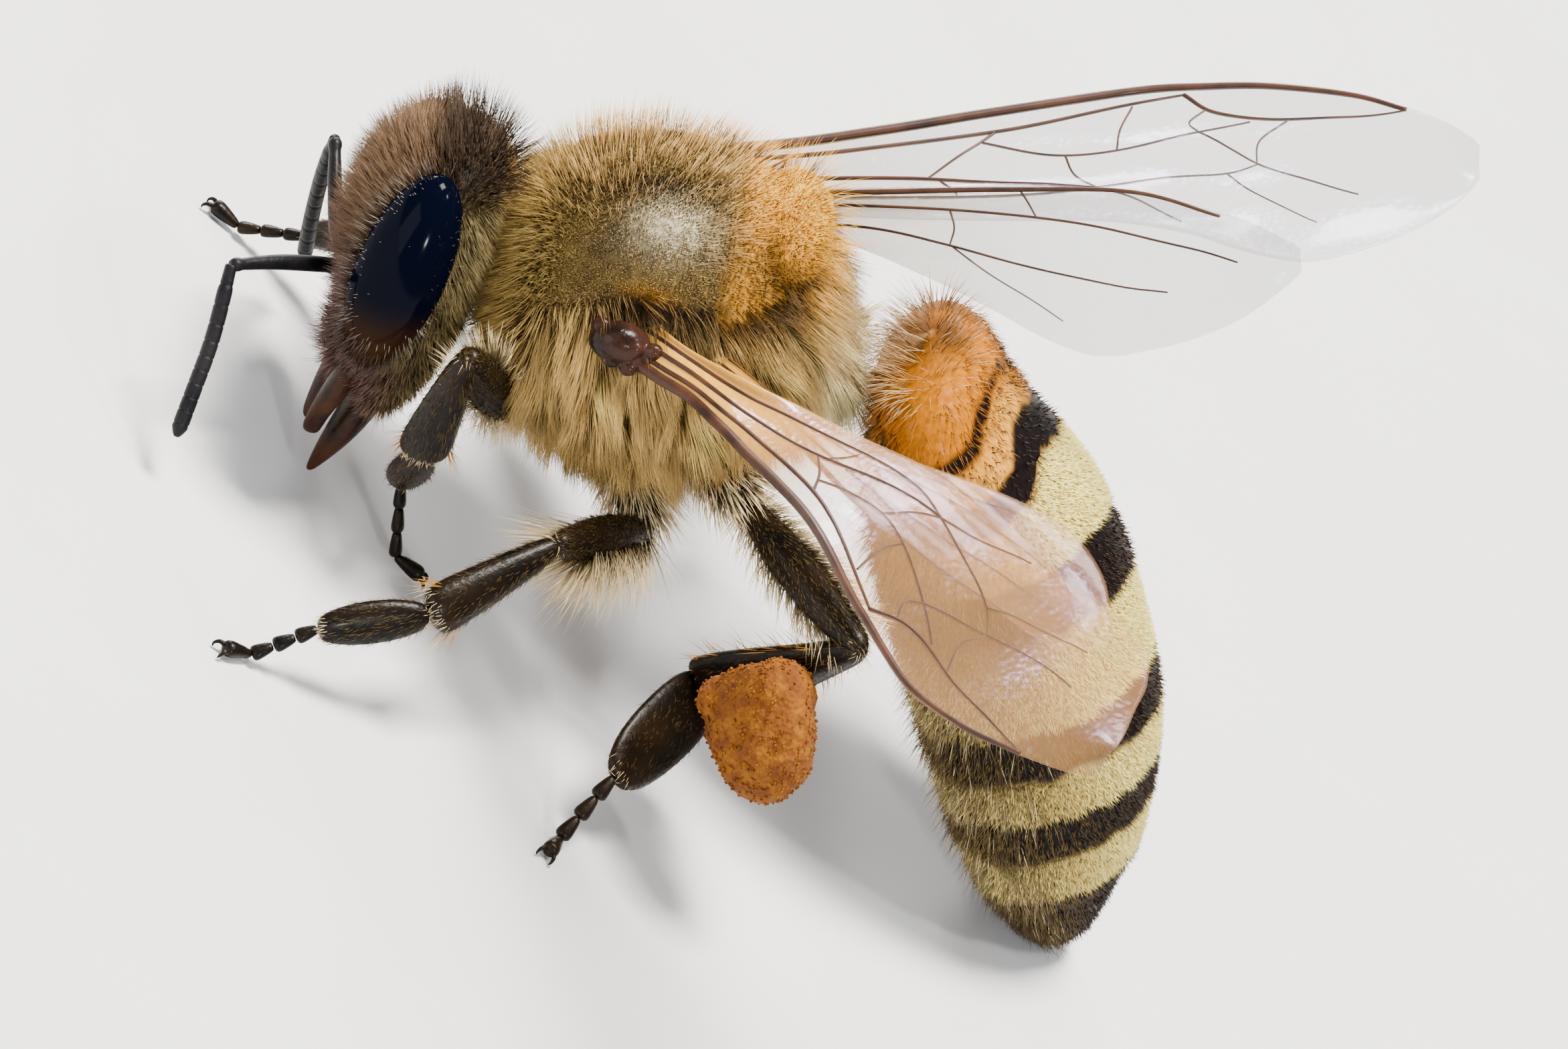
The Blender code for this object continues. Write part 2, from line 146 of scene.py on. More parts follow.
def read(items, field, width, kind=float):
    """A field of a mesh's points, corners or faces, one row for each."""
    found = np.empty(len(items) * width, kind)
    items.foreach_get(field, found)
    return found.reshape(-1, width) if width > 1 else found


def move_points(obj, points):
    obj.data.vertices.foreach_set("co", points.ravel())
    obj.data.update()


def keep_above_floor(obj):
    points = read(obj.data.vertices, "co", 3)
    points[:, 2] = np.maximum(points[:, 2], 0.0)
    move_points(obj, points)


def in_order(obj):
    """Stores points and faces by their place, so that every run gives the same mesh."""
    mesh = obj.data
    points = np.array([v.co for v in mesh.vertices])
    order = np.lexsort(np.round(points, 4).T)
    rank = np.argsort(order)
    faces = []
    for polygon in mesh.polygons:
        face = [int(rank[v]) for v in polygon.vertices]
        first = face.index(min(face))
        faces.append(tuple(face[first:] + face[:first]))
    mesh.clear_geometry()
    mesh.from_pydata(points[order].tolist(), [], sorted(faces))
    mesh.update()


print("mesh tools ready")

# %% Loft a body part
def loft(name, stations, place=None, sides=24, levels=2):
    """stations hold distance, shift x, shift y, half size x, half size y."""
    use()
    z, x, y, a, b = stations[0]
    bpy.ops.mesh.primitive_circle_add(vertices=sides, radius=1.0, fill_type="NGON")
    obj = named(bpy.context.object, name)
    obj.data.transform(Matrix.Translation((x, y, z)))
    bpy.ops.object.mode_set(mode="EDIT")
    bpy.ops.mesh.select_all(action="SELECT")
    bpy.ops.transform.resize(value=(a, b, 1.0), center_override=(x, y, z))
    for z2, x2, y2, a2, b2 in stations[1:]:
        step = {"value": (x2 - x, y2 - y, z2 - z)}
        bpy.ops.mesh.extrude_region_move(TRANSFORM_OT_translate=step)
        bpy.ops.transform.resize(value=(a2 / a, b2 / b, 1.0), center_override=(x2, y2, z2))
        z, x, y, a, b = z2, x2, y2, a2, b2
    face_outwards(obj)
    in_order(obj)
    modify(obj, "SUBSURF", levels=levels, render_levels=levels)
    bpy.ops.object.shade_smooth()
    if place is not None:
        unwrap_round(obj, stations)
        settle(obj, place)
    return obj


SEAM_ROOM, END_ROOM = 0.92, 0.96  # how much of the unit square an unwrap fills
MARGIN = 0.02


def store_unwrap(mesh, u, v):
    layer = mesh.uv_layers.new(name="Unwrap")
    layer.data.foreach_set("uv", np.stack([u, v], axis=1).ravel())


def unwrap_round(obj, stations):
    """The angle round the shape against the distance along it, in the unit square."""
    mesh = obj.data
    rows = sorted(stations)
    zs, xs, ys = ([r[k] for r in rows] for k in range(3))
    points = read(mesh.vertices, "co", 3)
    x = points[:, 0] - np.interp(points[:, 2], zs, xs)
    y = points[:, 1] - np.interp(points[:, 2], zs, ys)
    turn = np.arctan2(y, x) / (2 * math.pi) + 0.5
    far = (points[:, 2] - zs[0]) / (zs[-1] - zs[0])
    corner = read(mesh.loops, "vertex_index", 1, int)
    u = turn[corner]
    for face in mesh.polygons:  # a face across the seam stays whole
        at = slice(face.loop_start, face.loop_start + face.loop_total)
        if u[at].max() - u[at].min() > 0.5:
            u[at] = np.where(u[at] < 0.5, u[at] + 1.0, u[at])
    store_unwrap(mesh, MARGIN + SEAM_ROOM * u, MARGIN + END_ROOM * far[corner])


def inside(stations, depth, least=0.05):
    """The stations of a skin that lies this far inside the solid."""
    return [(z, x, y, max(a - depth, least), max(b - depth, least)) for z, x, y, a, b in stations]


print("loft tools ready")

# %% [markdown]
# Materials come next, because each piece takes one as it is made. Horny shell is dark and glossy
# with fine pores. Skin and coat read their colour from an attribute that is computed once from
# the bee's markings, together with some painted sheen, painted shade and painted reflection, so
# the hairs and the skin under them always agree. Noise and bump are then added by nodes, in the
# object's own coordinates.


# %% Material helpers
def fill(tree, node, sockets):
    """Gives each named socket its link or its value."""
    for name, value in sockets.items():
        if isinstance(value, bpy.types.NodeSocket):
            tree.links.new(value, node.inputs[name])
        else:
            node.inputs[name].default_value = value


def new_material(name, roughness, specular=0.5, coat=0.0):
    material = bpy.data.materials.new(name)
    material.use_nodes = True
    tree = material.node_tree
    shader = tree.nodes["Principled BSDF"]
    sockets = {"Roughness": roughness, "Specular IOR Level": specular, "Coat Weight": coat}
    fill(tree, shader, sockets)
    return material, tree, shader


def add(tree, kind, sockets, **settings):
    node = tree.nodes.new("ShaderNode" + kind)
    for field, value in settings.items():
        setattr(node, field, value)
    fill(tree, node, sockets)
    return node


def noise(tree, scale, detail=4.0, rough=0.55):
    """Noise in object space; scale is per millimetre."""
    place = add(tree, "TexCoord", {}).outputs["Object"]
    sockets = {"Scale": scale / MM, "Detail": detail, "Roughness": rough, "Vector": place}
    return add(tree, "TexNoise", sockets).outputs["Fac"]


def cells(tree, scale):
    place = add(tree, "TexCoord", {}).outputs["Object"]
    return add(tree, "TexVoronoi", {"Scale": scale / MM, "Vector": place}).outputs["Distance"]


def ramp(tree, source, *stops):
    made = add(tree, "ValToRGB", {"Fac": source})
    while len(made.color_ramp.elements) < len(stops):
        made.color_ramp.elements.new(0.5)
    for element, (at, colour) in zip(made.color_ramp.elements, stops):
        element.position = at
        element.color = (*colour, 1.0)
    return made.outputs["Color"]


def mottle(tree, shader, source, *stops):
    """A base colour that wanders between the stops."""
    fill(tree, shader, {"Base Color": ramp(tree, source, *stops)})


def bump(tree, shader, height, strength, distance):
    sockets = {"Strength": strength, "Distance": distance * MM, "Height": height}
    fill(tree, shader, {"Normal": add(tree, "Bump", sockets).outputs["Normal"]})


def marked(tree, name="marking", output="Color"):
    return add(tree, "Attribute", {}, attribute_name=name).outputs[output]


print("material tools ready")

# %% Shell, skin and coat materials
def make_skin(name, roughness, grain, strength, specular, coat=0.0):
    """Skin that shows its markings through fine pits."""
    material, tree, shader = new_material(name, roughness, specular, coat)
    speck = noise(tree, grain)
    shade = ramp(tree, speck, (0.3, (0.6, 0.58, 0.55)), (0.7, (1, 1, 1)))
    colours = {"Factor": 1.0, "A": marked(tree), "B": shade}
    both = add(tree, "Mix", colours, data_type="RGBA", blend_type="MULTIPLY")
    fill(tree, shader, {"Base Color": both.outputs["Result"]})
    bump(tree, shader, speck, strength, 0.03)
    return material


def make_shell(name, dark, light, roughness):
    """Horn: dark and glossy, in blotches, with fine pores."""
    material, tree, shader = new_material(name, roughness, specular=0.1, coat=0.03)
    fill(tree, shader, {"Coat Roughness": 0.12})
    mottle(tree, shader, noise(tree, 1.6), (0.35, dark), (0.7, light))
    bump(tree, shader, noise(tree, 16.0, 2.0), 0.35, 0.02)
    return material


PLUSH_SKIN = make_skin("plush skin", 0.55, 9.0, 0.5, specular=0.06)
BANDED_SKIN = make_skin("banded skin", 0.42, 14.0, 0.2, specular=0.03, coat=0.02)
COAT, tree, shader = new_material("coat", 0.5, specular=0.2)
fill(tree, shader, {"Base Color": marked(tree)})
LEG_SHELL = make_shell("leg shell", (0.002, 0.0015, 0.001), (0.012, 0.006, 0.002), 0.36)
FEELER_SHELL = make_shell("feeler shell", (0.003, 0.003, 0.004), (0.01, 0.009, 0.01), 0.45)
JAW_SHELL = make_shell("jaw shell", (0.006, 0.002, 0.001), (0.05, 0.016, 0.004), 0.4)
TEGULA_SHELL = make_shell("tegula shell", (0.003, 0.002, 0.002), (0.045, 0.017, 0.01), 0.2)
print("materials:", len(bpy.data.materials))

# %% [markdown]
# The thorax is one ball-like box of muscle. Its skin is a loft, with the scutellum, the raised
# cushion at its rear edge, joined on. A voxel Remesh turns the two into one surface, and a few
# passes of Smooth melt the crease between them, as no seam shows on the real one.

# %% Thorax skin
THORAX_STATIONS = [
    # forward, half width, half height, height of the centre; given at the coat's tips
    (-2.75, 0.32, 0.34, -0.85), (-2.38, 0.5, 0.5, -0.72), (-2.2, 0.9, 0.85, -0.5),
    (-1.95, 1.36, 1.36, -0.25), (-1.55, 1.73, 1.84, -0.13), (-1.05, 2.0, 2.19, -0.16),
    (-0.45, 2.12, 2.38, -0.17), (0.2, 2.08, 2.35, -0.14), (0.8, 1.89, 2.1, -0.1),
    (1.32, 1.54, 1.65, -0.03), (1.67, 1.08, 1.13, 0.0), (1.82, 0.55, 0.5, -0.05),
]
THORAX_COAT = 0.36


def join(first, *others):
    use(first, *others)
    bpy.ops.object.join()
    return first


def melt(obj, voxel, passes):
    """One closed surface from overlapping ones."""
    modify(obj, "REMESH", mode="VOXEL", voxel_size=voxel)
    modify(obj, "SMOOTH", iterations=passes)
    bpy.ops.object.shade_smooth()
    return obj


def ball(name, centre, radii, turn=Matrix.Identity(4), segments=48, rings=32):
    use()
    bpy.ops.mesh.primitive_uv_sphere_add(segments=segments, ring_count=rings, radius=1.0)
    obj = named(bpy.context.object, name)
    in_order(obj)
    obj.data.transform(Matrix.Translation(centre) @ turn @ Matrix.Diagonal((*radii, 1.0)))
    bpy.ops.object.shade_smooth()
    return obj


def plush_body(name, stations, swellings, voxel, passes, place):
    """A loft and its swellings, each a centre and three radii, melted into one skin."""
    body = loft(name, stations)
    body = melt(join(body, *(ball("swelling", *s) for s in swellings)), voxel, passes)
    unwrap_round(body, stations)
    settle(body, place)
    dress(body, PLUSH_SKIN)
    return body


stations = inside([(f, 0.0, c, w, h) for f, w, h, c in THORAX_STATIONS], THORAX_COAT)
stations[0] = (-2.7, 0.0, -0.85, 0.16, 0.18)
stations[-1] = (1.62, 0.0, -0.05, 0.25, 0.25)
CUSHION = ((0.0, 1.17, -1.47), (1.02, 0.42, 0.43))
thorax = plush_body("thorax_skin", stations, [CUSHION], 0.055, 6, place=LENGTHWISE)
print("thorax skin faces:", len(thorax.data.polygons))

# %% [markdown]
# The abdomen is a tail of overlapping plates. Each plate flares slightly to its rear edge, which
# stands proud of the next one. The tail is lofted smooth, and its points are then lifted a little
# more towards each plate's rear edge, and drop back where the next plate begins.

# %% Abdomen skin
ABDOMEN_STATIONS = [
    # distance from the waist, height of the centre, half height, half width, at the coat's tips
    (-0.95, 1.5, 0.25, 0.45), (-0.75, 1.42, 0.5, 0.95), (-0.4, 1.3, 0.8, 1.4),
    (0.05, 1.22, 0.98, 1.65), (0.6, 1.2, 1.12, 1.8), (1.2, 1.22, 1.26, 1.9),
    (2.0, 1.31, 1.43, 1.95), (3.0, 1.36, 1.52, 2.0), (4.1, 1.34, 1.52, 1.97),
    (5.1, 1.29, 1.47, 1.86), (5.8, 1.18, 1.34, 1.7), (6.5, 1.06, 1.16, 1.42),
    (7.1, 0.92, 0.9, 1.08), (7.5, 0.84, 0.65, 0.8), (7.8, 0.8, 0.42, 0.52),
    (8.02, 0.78, 0.2, 0.28),
]
PLATE_JOINTS = (-0.95, 0.15, 1.25, 3.15, 4.95, 6.1, 6.9, 8.1)
STEP = 0.05  # how proud a plate's rear edge stands


def smooth_table(at, rows, column):
    """A smooth curve through one column of a table of stations."""
    xs, ys = [r[0] for r in rows], [r[column] for r in rows]
    slopes = np.gradient(ys, xs)
    i = np.clip(np.searchsorted(xs, at) - 1, 0, len(xs) - 2)
    xs, ys = np.array(xs), np.array(ys)
    wide = xs[i + 1] - xs[i]
    t = np.clip((at - xs[i]) / wide, 0.0, 1.0)
    return (
        (2 * t**3 - 3 * t**2 + 1) * ys[i] + (t**3 - 2 * t**2 + t) * wide * slopes[i]
        + (3 * t**2 - 2 * t**3) * ys[i + 1] + (t**3 - t**2) * wide * slopes[i + 1]
    )


def coat_depth(s):
    """How far the skin of the abdomen lies below the tips of its hairs."""
    return np.interp(s, (-0.5, 0.0, 1.2, 2.0, 7.0, 8.0), (0.34, 0.27, 0.16, 0.1, 0.1, 0.06))


def plate_place(local):
    """Distance along the plates, whose first joints slant back down the left flank."""
    slant = 0.38 - 0.045 * local[:, 2]
    return local[:, 2] + slant * local[:, 0]


def step_height(along):
    """Rises over each plate to its rear edge, then drops."""
    joints = np.array(PLATE_JOINTS)
    i = np.clip(np.searchsorted(joints, along) - 1, 0, len(joints) - 2)
    share = (along - joints[i]) / (joints[i + 1] - joints[i])
    return STEP * (np.clip(share, 0, 1) ** 1.5 - 0.5)


FRONT, SHOULDER = -0.52, 0.2  # where the skin begins, and where it has its full girth
DOME = 2.4  # how square the shoulder's dome is; 2 would be round
rows = []
for s in np.linspace(FRONT, 7.95, 58):
    centre, high, wide = (float(smooth_table(s, ABDOMEN_STATIONS, c)) for c in (1, 2, 3))
    depth = float(coat_depth(s)) + 0.01
    if s < SHOULDER:
        share = (SHOULDER - s) / (SHOULDER - FRONT + 0.01)
        dome = (1.0 - share**DOME) ** (1 / DOME)
        high, wide = 1.02 * dome, 1.7 * dome
    rows.append((float(s), 0.0, -centre, max(wide - depth, 0.06), max(high - depth, 0.04)))
abdomen = loft("abdomen_skin", rows, sides=26)
unwrap_round(abdomen, rows)
local = read(abdomen.data.vertices, "co", 3)
centre = np.stack([0 * local[:, 2], -smooth_table(local[:, 2], ABDOMEN_STATIONS, 1)], axis=1)
outwards = local[:, :2] - centre
outwards /= np.maximum(np.linalg.norm(outwards, axis=1, keepdims=True), 1e-6)
lift = step_height(plate_place(local)) * np.clip((7.8 - local[:, 2]) / 0.5, 0, 1)
local[:, :2] += outwards * lift[:, None]
move_points(abdomen, local)
settle(abdomen, ABDOMEN)
keep_above_floor(abdomen)
dress(abdomen, BANDED_SKIN)
print("abdomen skin faces:", len(abdomen.data.polygons))

# %% [markdown]
# The head is a flat, rounded triangle, wide across the eyes. Like the thorax it is lofted, with
# the mouth shield and the brow added as soft swellings before everything is melted together.

# %% Head skin
HEAD_STATIONS = [
    # height, forward, half thickness, half width, at the coat's tips
    (-1.95, -0.08, 0.25, 0.4), (-1.8, -0.08, 0.42, 0.7), (-1.45, -0.07, 0.64, 1.05),
    (-1.0, -0.03, 0.82, 1.35), (-0.4, 0.02, 0.96, 1.6), (0.2, 0.03, 1.03, 1.68),
    (0.8, -0.02, 1.0, 1.62), (1.3, -0.12, 0.88, 1.4), (1.65, -0.2, 0.65, 1.05),
    (1.85, -0.2, 0.35, 0.6),
]
HEAD_COAT = 0.25
stations = inside([(h, f, 0.0, t, w) for h, f, t, w in HEAD_STATIONS], HEAD_COAT)
stations[-1] = (1.62, -0.2, 0.0, 0.12, 0.4)
stations[-2] = (1.48, -0.2, 0.0, 0.4, 0.85)
SWELLINGS = [((0.38, 0.0, -1.05), (0.3, 0.5, 0.55)), ((0.3, 0.0, 0.95), (0.42, 0.5, 0.42))]
head = plush_body("head_skin", stations, SWELLINGS, 0.05, 4, place=HEAD)
print("head skin faces:", len(head.data.polygons))

# %% [markdown]
# A compound eye is a glossy black bean with thousands of six-sided lenses. The lenses are far
# too many to model, so a Voronoi pattern makes their fine relief as bump, and a clear coat over
# it gives the wet shine. Low on the eye the colour warms to brown, a painted warm reflection.
# Three simple eyes, small glass beads, sit on the top of the head.

# %% Eye material
EYE_GLASS, tree, shader = new_material("eye glass", 0.4, specular=0.0, coat=0.06)
fill(tree, shader, {"Coat Roughness": 0.1})
# dark blue-black glass, which turns brown where the painted reflection lies low on the eye
mottle(tree, shader, marked(tree), (0.0, (0.0006, 0.0012, 0.0045)), (1.0, (0.018, 0.007, 0.002)))
bump(tree, shader, cells(tree, 26.0), 0.12, 0.006)
print("eye glass nodes:", len(tree.nodes))


# %% Markings as an attribute
def points_of(obj):
    """The mesh's points, in world millimetres."""
    return read(obj.data.vertices, "co", 3) / MM


def seen_from(points, place):
    """World points in the axes of place."""
    back = np.array(place.inverted())
    return points @ back[:3, :3].T + back[:3, 3]


def store_colours(mesh, colours):
    layer = mesh.color_attributes.new("marking", "FLOAT_COLOR", "POINT")
    layer.data.foreach_set("color", colours.ravel())


def mark(obj, colours):
    """Stores a colour for each point."""
    full = np.ones((len(obj.data.vertices), 4), np.float32)
    full[:, :3] = colours
    store_colours(obj.data, full)


def ease(x, low, high):
    """0 below low, 1 above high, smooth between."""
    t = np.clip((x - low) / (high - low), 0.0, 1.0)
    return t * t * (3.0 - 2.0 * t)


def hump(x, centre, reach):
    return np.exp(-(((x - centre) / reach) ** 2))


def blend(base, *layers):
    """Lays each colour over the base by its share, in turn."""
    for colour, share in layers:
        base = base + (colour - base) * np.asarray(share)[:, None]
    return base


def waves(points, size, seed):
    """Smooth noise from -1 to 1, whose humps are about size across."""
    rng = np.random.default_rng(seed)
    ways = rng.normal(size=(9, 3))
    ways *= (2 * math.pi / size) * rng.uniform(0.5, 1.3, (9, 1)) / np.linalg.norm(
        ways, axis=1, keepdims=True
    )
    return np.sin(points @ ways.T + rng.uniform(0, 6.28, 9)).sum(1) / 3.6


print("marking tools ready")

# %% Eyes and simple eyes
EYE_CENTRE, EYE_RADII = (0.24, 1.38, 0.18), (0.52, 0.47, 1.21)
eyes = []
for side, sign in SIDES:
    x, y, z = EYE_CENTRE
    centre = (x, sign * y, z)
    eye = ball("eye_%s_lens" % side, centre, EYE_RADII, tilt(-6.0, "Y"), segments=80, rings=56)
    settle(eye, HEAD)
    # painted reflection: the eye's colour warms to brown towards its bottom
    painted_reflection = 1.0 - ease(seen_from(points_of(eye), HEAD)[:, 2], -0.75, -0.1)
    mark(eye, painted_reflection[:, None])
    dress(eye, EYE_GLASS)
    eyes.append(eye)
BEADS, BEAD_RADII = ((0.42, 0.0, 1.36), (0.1, 0.24, 1.5), (0.1, -0.24, 1.5)), (0.13, 0.13, 0.11)
beads = [ball("bead", centre, BEAD_RADII, segments=20, rings=12) for centre in BEADS]
simple_eyes = named(join(*beads), "simple_eyes")
settle(simple_eyes, HEAD)
mark(simple_eyes, 0.3)
dress(simple_eyes, EYE_GLASS)
print("eyes:", [e.name for e in eyes])

# %% [markdown]
# Feelers, jaws and tongue are horny tubes. A tube here is a loft along a path: the path is
# sampled finely, and the radius may change at every sample, so the ten rings of a feeler's whip
# come from a small dip of the radius between them.


# %% Tubes along a path
def curve_through(knots, count):
    """Points of a smooth path through the knots."""
    knots = np.array([list(k) for k in knots], float)
    padded = np.vstack([2 * knots[0] - knots[1], knots, 2 * knots[-1] - knots[-2]])
    spot = np.linspace(0, len(knots) - 1, count)
    i = np.minimum(spot.astype(int), len(knots) - 2)
    t = (spot - i)[:, None]
    p0, p1, p2, p3 = (padded[i + k] for k in range(4))
    return 0.5 * (
        2 * p1 + (p2 - p0) * t + (2 * p0 - 5 * p1 + 4 * p2 - p3) * t**2
        + (3 * p1 - p0 - 3 * p2 + p3) * t**3
    )


def mesh_from(name, points, faces):
    """A mesh object from points in world millimetres."""
    mesh = bpy.data.meshes.new(name)
    mesh.from_pydata((np.asarray(points) * MM).tolist(), [], [list(map(int, f)) for f in faces])
    mesh.polygons.foreach_set("use_smooth", [True] * len(mesh.polygons))
    obj = bpy.data.objects.new(name, mesh)
    bpy.context.scene.collection.objects.link(obj)
    return obj


def tube(path, radii, sides=8, up=(0.0, 0.0, 1.0)):
    """Points and faces of a closed tube round the path."""
    path, radii = np.asarray(path), np.broadcast_to(radii, len(path))
    along = np.gradient(path, axis=0)
    along /= np.linalg.norm(along, axis=1, keepdims=True)
    across = np.cross(along, up)
    across /= np.maximum(np.linalg.norm(across, axis=1, keepdims=True), 1e-6)
    over = np.cross(across, along)
    turns = 2 * math.pi * np.arange(sides) / sides
    rim = (
        across[:, None] * np.cos(turns)[None, :, None]
        + over[:, None] * np.sin(turns)[None, :, None]
    ) * radii[:, None, None]
    points = (path[:, None] + rim).reshape(-1, 3)
    faces = []
    for row in range(len(path) - 1):
        for i in range(sides):
            a, b = row * sides + i, row * sides + (i + 1) % sides
            faces.append((a, b, b + sides, a + sides))
    last = (len(path) - 1) * sides
    faces.append(tuple(range(sides))[::-1])
    faces.append(tuple(range(last, last + sides)))
    return points, faces


def pile(shapes):
    """Several lots of points and faces as one."""
    points, faces, base = [], [], 0
    for p, f in shapes:
        points.append(p)
        faces += [tuple(i + base for i in face) for face in f]
        base += len(p)
    return np.vstack(points), faces


print("tube tools ready")

# %% Feelers
FEELER_KNOTS = {
    # from the joint with the head to the scape's tip, in the bee's axes
    "scape_left": ((3.4, 0.27, -0.45), (3.68, 0.3, -0.45), (4.2, 0.68, -0.3), (4.7, 1.05, -0.22)),
    "scape_right": ((3.3, -0.25, -0.5), (3.5, -0.31, -0.49), (3.66, -0.83, -0.15),
                    (3.77, -1.34, 0.2)),
    # from there to the tip of the whip
    "whip_left": ((4.7, 1.05, -0.22), (4.74, 1.58, -0.87), (4.83, 2.0, -1.34),
                  (4.92, 2.36, -1.79)),
    "whip_right": ((3.77, -1.34, 0.2), (3.8, -1.68, -0.55), (3.79, -2.0, -1.34),
                   (3.75, -2.31, -2.14)),
}
WHIP_RINGS = 11


def scape_radii(t):
    swell = 0.07 + 0.025 * np.sin(math.pi * np.clip(t * 1.1, 0, 1)) + 0.012 * (t > 0.93)
    swell[-1] = 0.06
    return swell


def whip_radii(t):
    ring = np.abs((t * WHIP_RINGS) % 1.0 - 0.5) * 2
    swell = np.interp(t, (0, 0.07, 0.12, 0.9, 1), (0.07, 0.075, 0.09, 0.095, 0.088))
    return swell * (1 - 0.1 * ease(ring, 0.86, 1.0)) * np.sqrt(np.clip((1 - t) * 14 + 0.1, 0, 1))


# radii, rings of points along the tube, points in each ring
FEELER_TUBES = {"scape": (scape_radii, 40, 16), "whip": (whip_radii, 111, 18)}
feelers = {}
for side, _ in SIDES:
    for kind, (radii, count, sides) in FEELER_TUBES.items():
        knots = [BEE @ Vector(p) for p in FEELER_KNOTS["%s_%s" % (kind, side)]]
        shape = tube(curve_through(knots, count), radii(np.linspace(0, 1, count)), sides)
        piece = mesh_from("%s_%s_shell" % (kind, side), *shape)
        face_outwards(piece)
        dress(piece, FEELER_SHELL)
        feelers[kind, side] = piece
print("feeler points:", len(feelers["whip", "left"].data.vertices))

# %% Jaws and tongue
JAW_STATIONS = (
    # up, forward, outwards, half sizes
    (-2.38, 0.57, 0.22, 0.08, 0.06), (-2.28, 0.57, 0.27, 0.12, 0.12),
    (-2.1, 0.55, 0.33, 0.12, 0.14), (-1.8, 0.48, 0.44, 0.16, 0.2),
    (-1.45, 0.4, 0.5, 0.15, 0.2), (-1.3, 0.38, 0.5, 0.1, 0.12),
)
TONGUE_STATIONS = (
    (-2.9, 0.43, 0.0, 0.04, 0.04), (-2.75, 0.37, 0.0, 0.09, 0.1), (-2.5, 0.27, 0.0, 0.16, 0.2),
    (-2.1, 0.12, 0.0, 0.22, 0.3), (-1.6, 0.0, 0.0, 0.24, 0.34),
)
jaws = {}
for side, sign in SIDES:
    rows = [(h, f, sign * out, a, b) for h, f, out, a, b in JAW_STATIONS]
    jaws[side] = loft("jaw_%s_shell" % side, rows, HEAD, sides=12)
tongue = loft("tongue_shell", TONGUE_STATIONS, HEAD, sides=16)
for piece in (*jaws.values(), tongue):
    dress(piece, JAW_SHELL)
print("mouth parts:", len(jaws) + 1)

# %% Tegulae, the shields over the wing roots
WING_ROOT_KNOBS = (
    # forward, left, up, radius
    (0.5, 1.8, 0.5, 0.13), (0.32, 1.96, 0.2, 0.12), (0.1, 2.0, 0.42, 0.11),
    (-0.12, 1.96, 0.4, 0.12), (-0.22, 2.0, 0.2, 0.13), (0.12, 2.04, 0.16, 0.1),
    (-0.34, 1.9, 0.36, 0.1),
)
tegulae = {}
for side, sign in SIDES:
    shield = ball("tegula_%s_shell" % side, (0.27, sign * 1.86, 0.37), (0.36, 0.24, 0.25))
    knobs = [ball("knuckle", (-0.04, sign * 1.9, 0.24), (0.2, 0.16, 0.16))] + [
        ball("knob", (f, sign * l, d), (r, r * 0.8, r * 0.9), segments=20, rings=12)
        for f, l, d, r in WING_ROOT_KNOBS
    ]
    tegulae[side] = melt(join(shield, *knobs), voxel=0.022, passes=2)
    settle(tegulae[side], BEE)
    dress(tegulae[side], TEGULA_SHELL)
print("wing root knobs:", len(WING_ROOT_KNOBS))

# %% [markdown]
# Each leg is five jointed tubes of shell: coxa, thigh, shin, the broad first toe and the small
# toes. The legs stand in the same places as in the solids, so the same table of lengths,
# headings and slopes is walked again, but each segment is thinner by its fringe of hair.

# %% Legs
LEGS = {
    "front_left": ((1.35, 0.45, -1.35), (0.5, 106, -11), (1.9, 44, 31), (1.7, -148, -70),
                   (1.15, -113, -48), (0.95, 170)),
    "front_right": ((1.35, -0.45, -1.35), (0.5, -106, -11), (1.7, -40, 20), (1.6, -75, -68),
                    (1.1, -40, -50), (0.85, -20)),
    "mid_left": ((-0.1, 0.6, -1.6), (1.2, 141, -28), (2.15, 53, 5), (1.75, 49, -38),
                 (1.3, 23, -32), (0.8, 28)),
    "mid_right": ((-0.1, -0.6, -1.6), (1.2, -141, -28), (2.1, -62, 16), (1.8, -72, -66),
                  (1.3, -60, -35), (0.8, -50)),
    "hind_left": ((-0.85, 0.6, -1.4), (1.2, 135, 2), (2.5, 126, 9), (2.7, -67, -59),
                  (1.85, 67, -22), (0.95, 72)),
    "hind_right": ((-0.85, -0.6, -1.4), (1.1, -135, -4), (2.4, -122, 8), (2.7, -60, -62),
                   (1.8, -125, -22), (0.95, -115)),
}
# share of the length, half width, half thickness
COXA = ((0.0, 0.2, 0.2), (0.15, 0.3, 0.28), (0.5, 0.34, 0.3), (0.85, 0.26, 0.24),
        (1.02, 0.15, 0.15))
THIGH = ((-0.02, 0.1, 0.1), (0.06, 0.17, 0.16), (0.3, 0.26, 0.22), (0.6, 0.29, 0.24),
         (0.88, 0.2, 0.18), (0.98, 0.16, 0.15), (1.02, 0.08, 0.08))
SHIN = ((-0.02, 0.09, 0.09), (0.05, 0.15, 0.14), (0.3, 0.22, 0.17), (0.6, 0.28, 0.19),
        (0.9, 0.33, 0.2), (0.98, 0.27, 0.17), (1.0, 0.12, 0.1))
HIND_SHIN = ((-0.02, 0.1, 0.1), (0.05, 0.18, 0.16), (0.3, 0.27, 0.16), (0.6, 0.42, 0.16),
             (0.9, 0.52, 0.15), (0.98, 0.44, 0.13), (1.0, 0.2, 0.08))
SOLE = ((0.0, 0.1, 0.08), (0.08, 0.2, 0.13), (0.4, 0.28, 0.14), (0.75, 0.26, 0.13),
        (0.96, 0.17, 0.11), (1.0, 0.09, 0.07))
HIND_SOLE = ((0.0, 0.2, 0.08), (0.05, 0.42, 0.13), (0.4, 0.48, 0.13), (0.8, 0.42, 0.12),
             (0.97, 0.24, 0.1), (1.0, 0.12, 0.07))
TOE = ((0.0, 0.045, 0.045), (0.1, 0.065, 0.06), (0.6, 0.1, 0.08), (0.92, 0.115, 0.085),
       (1.0, 0.05, 0.05))
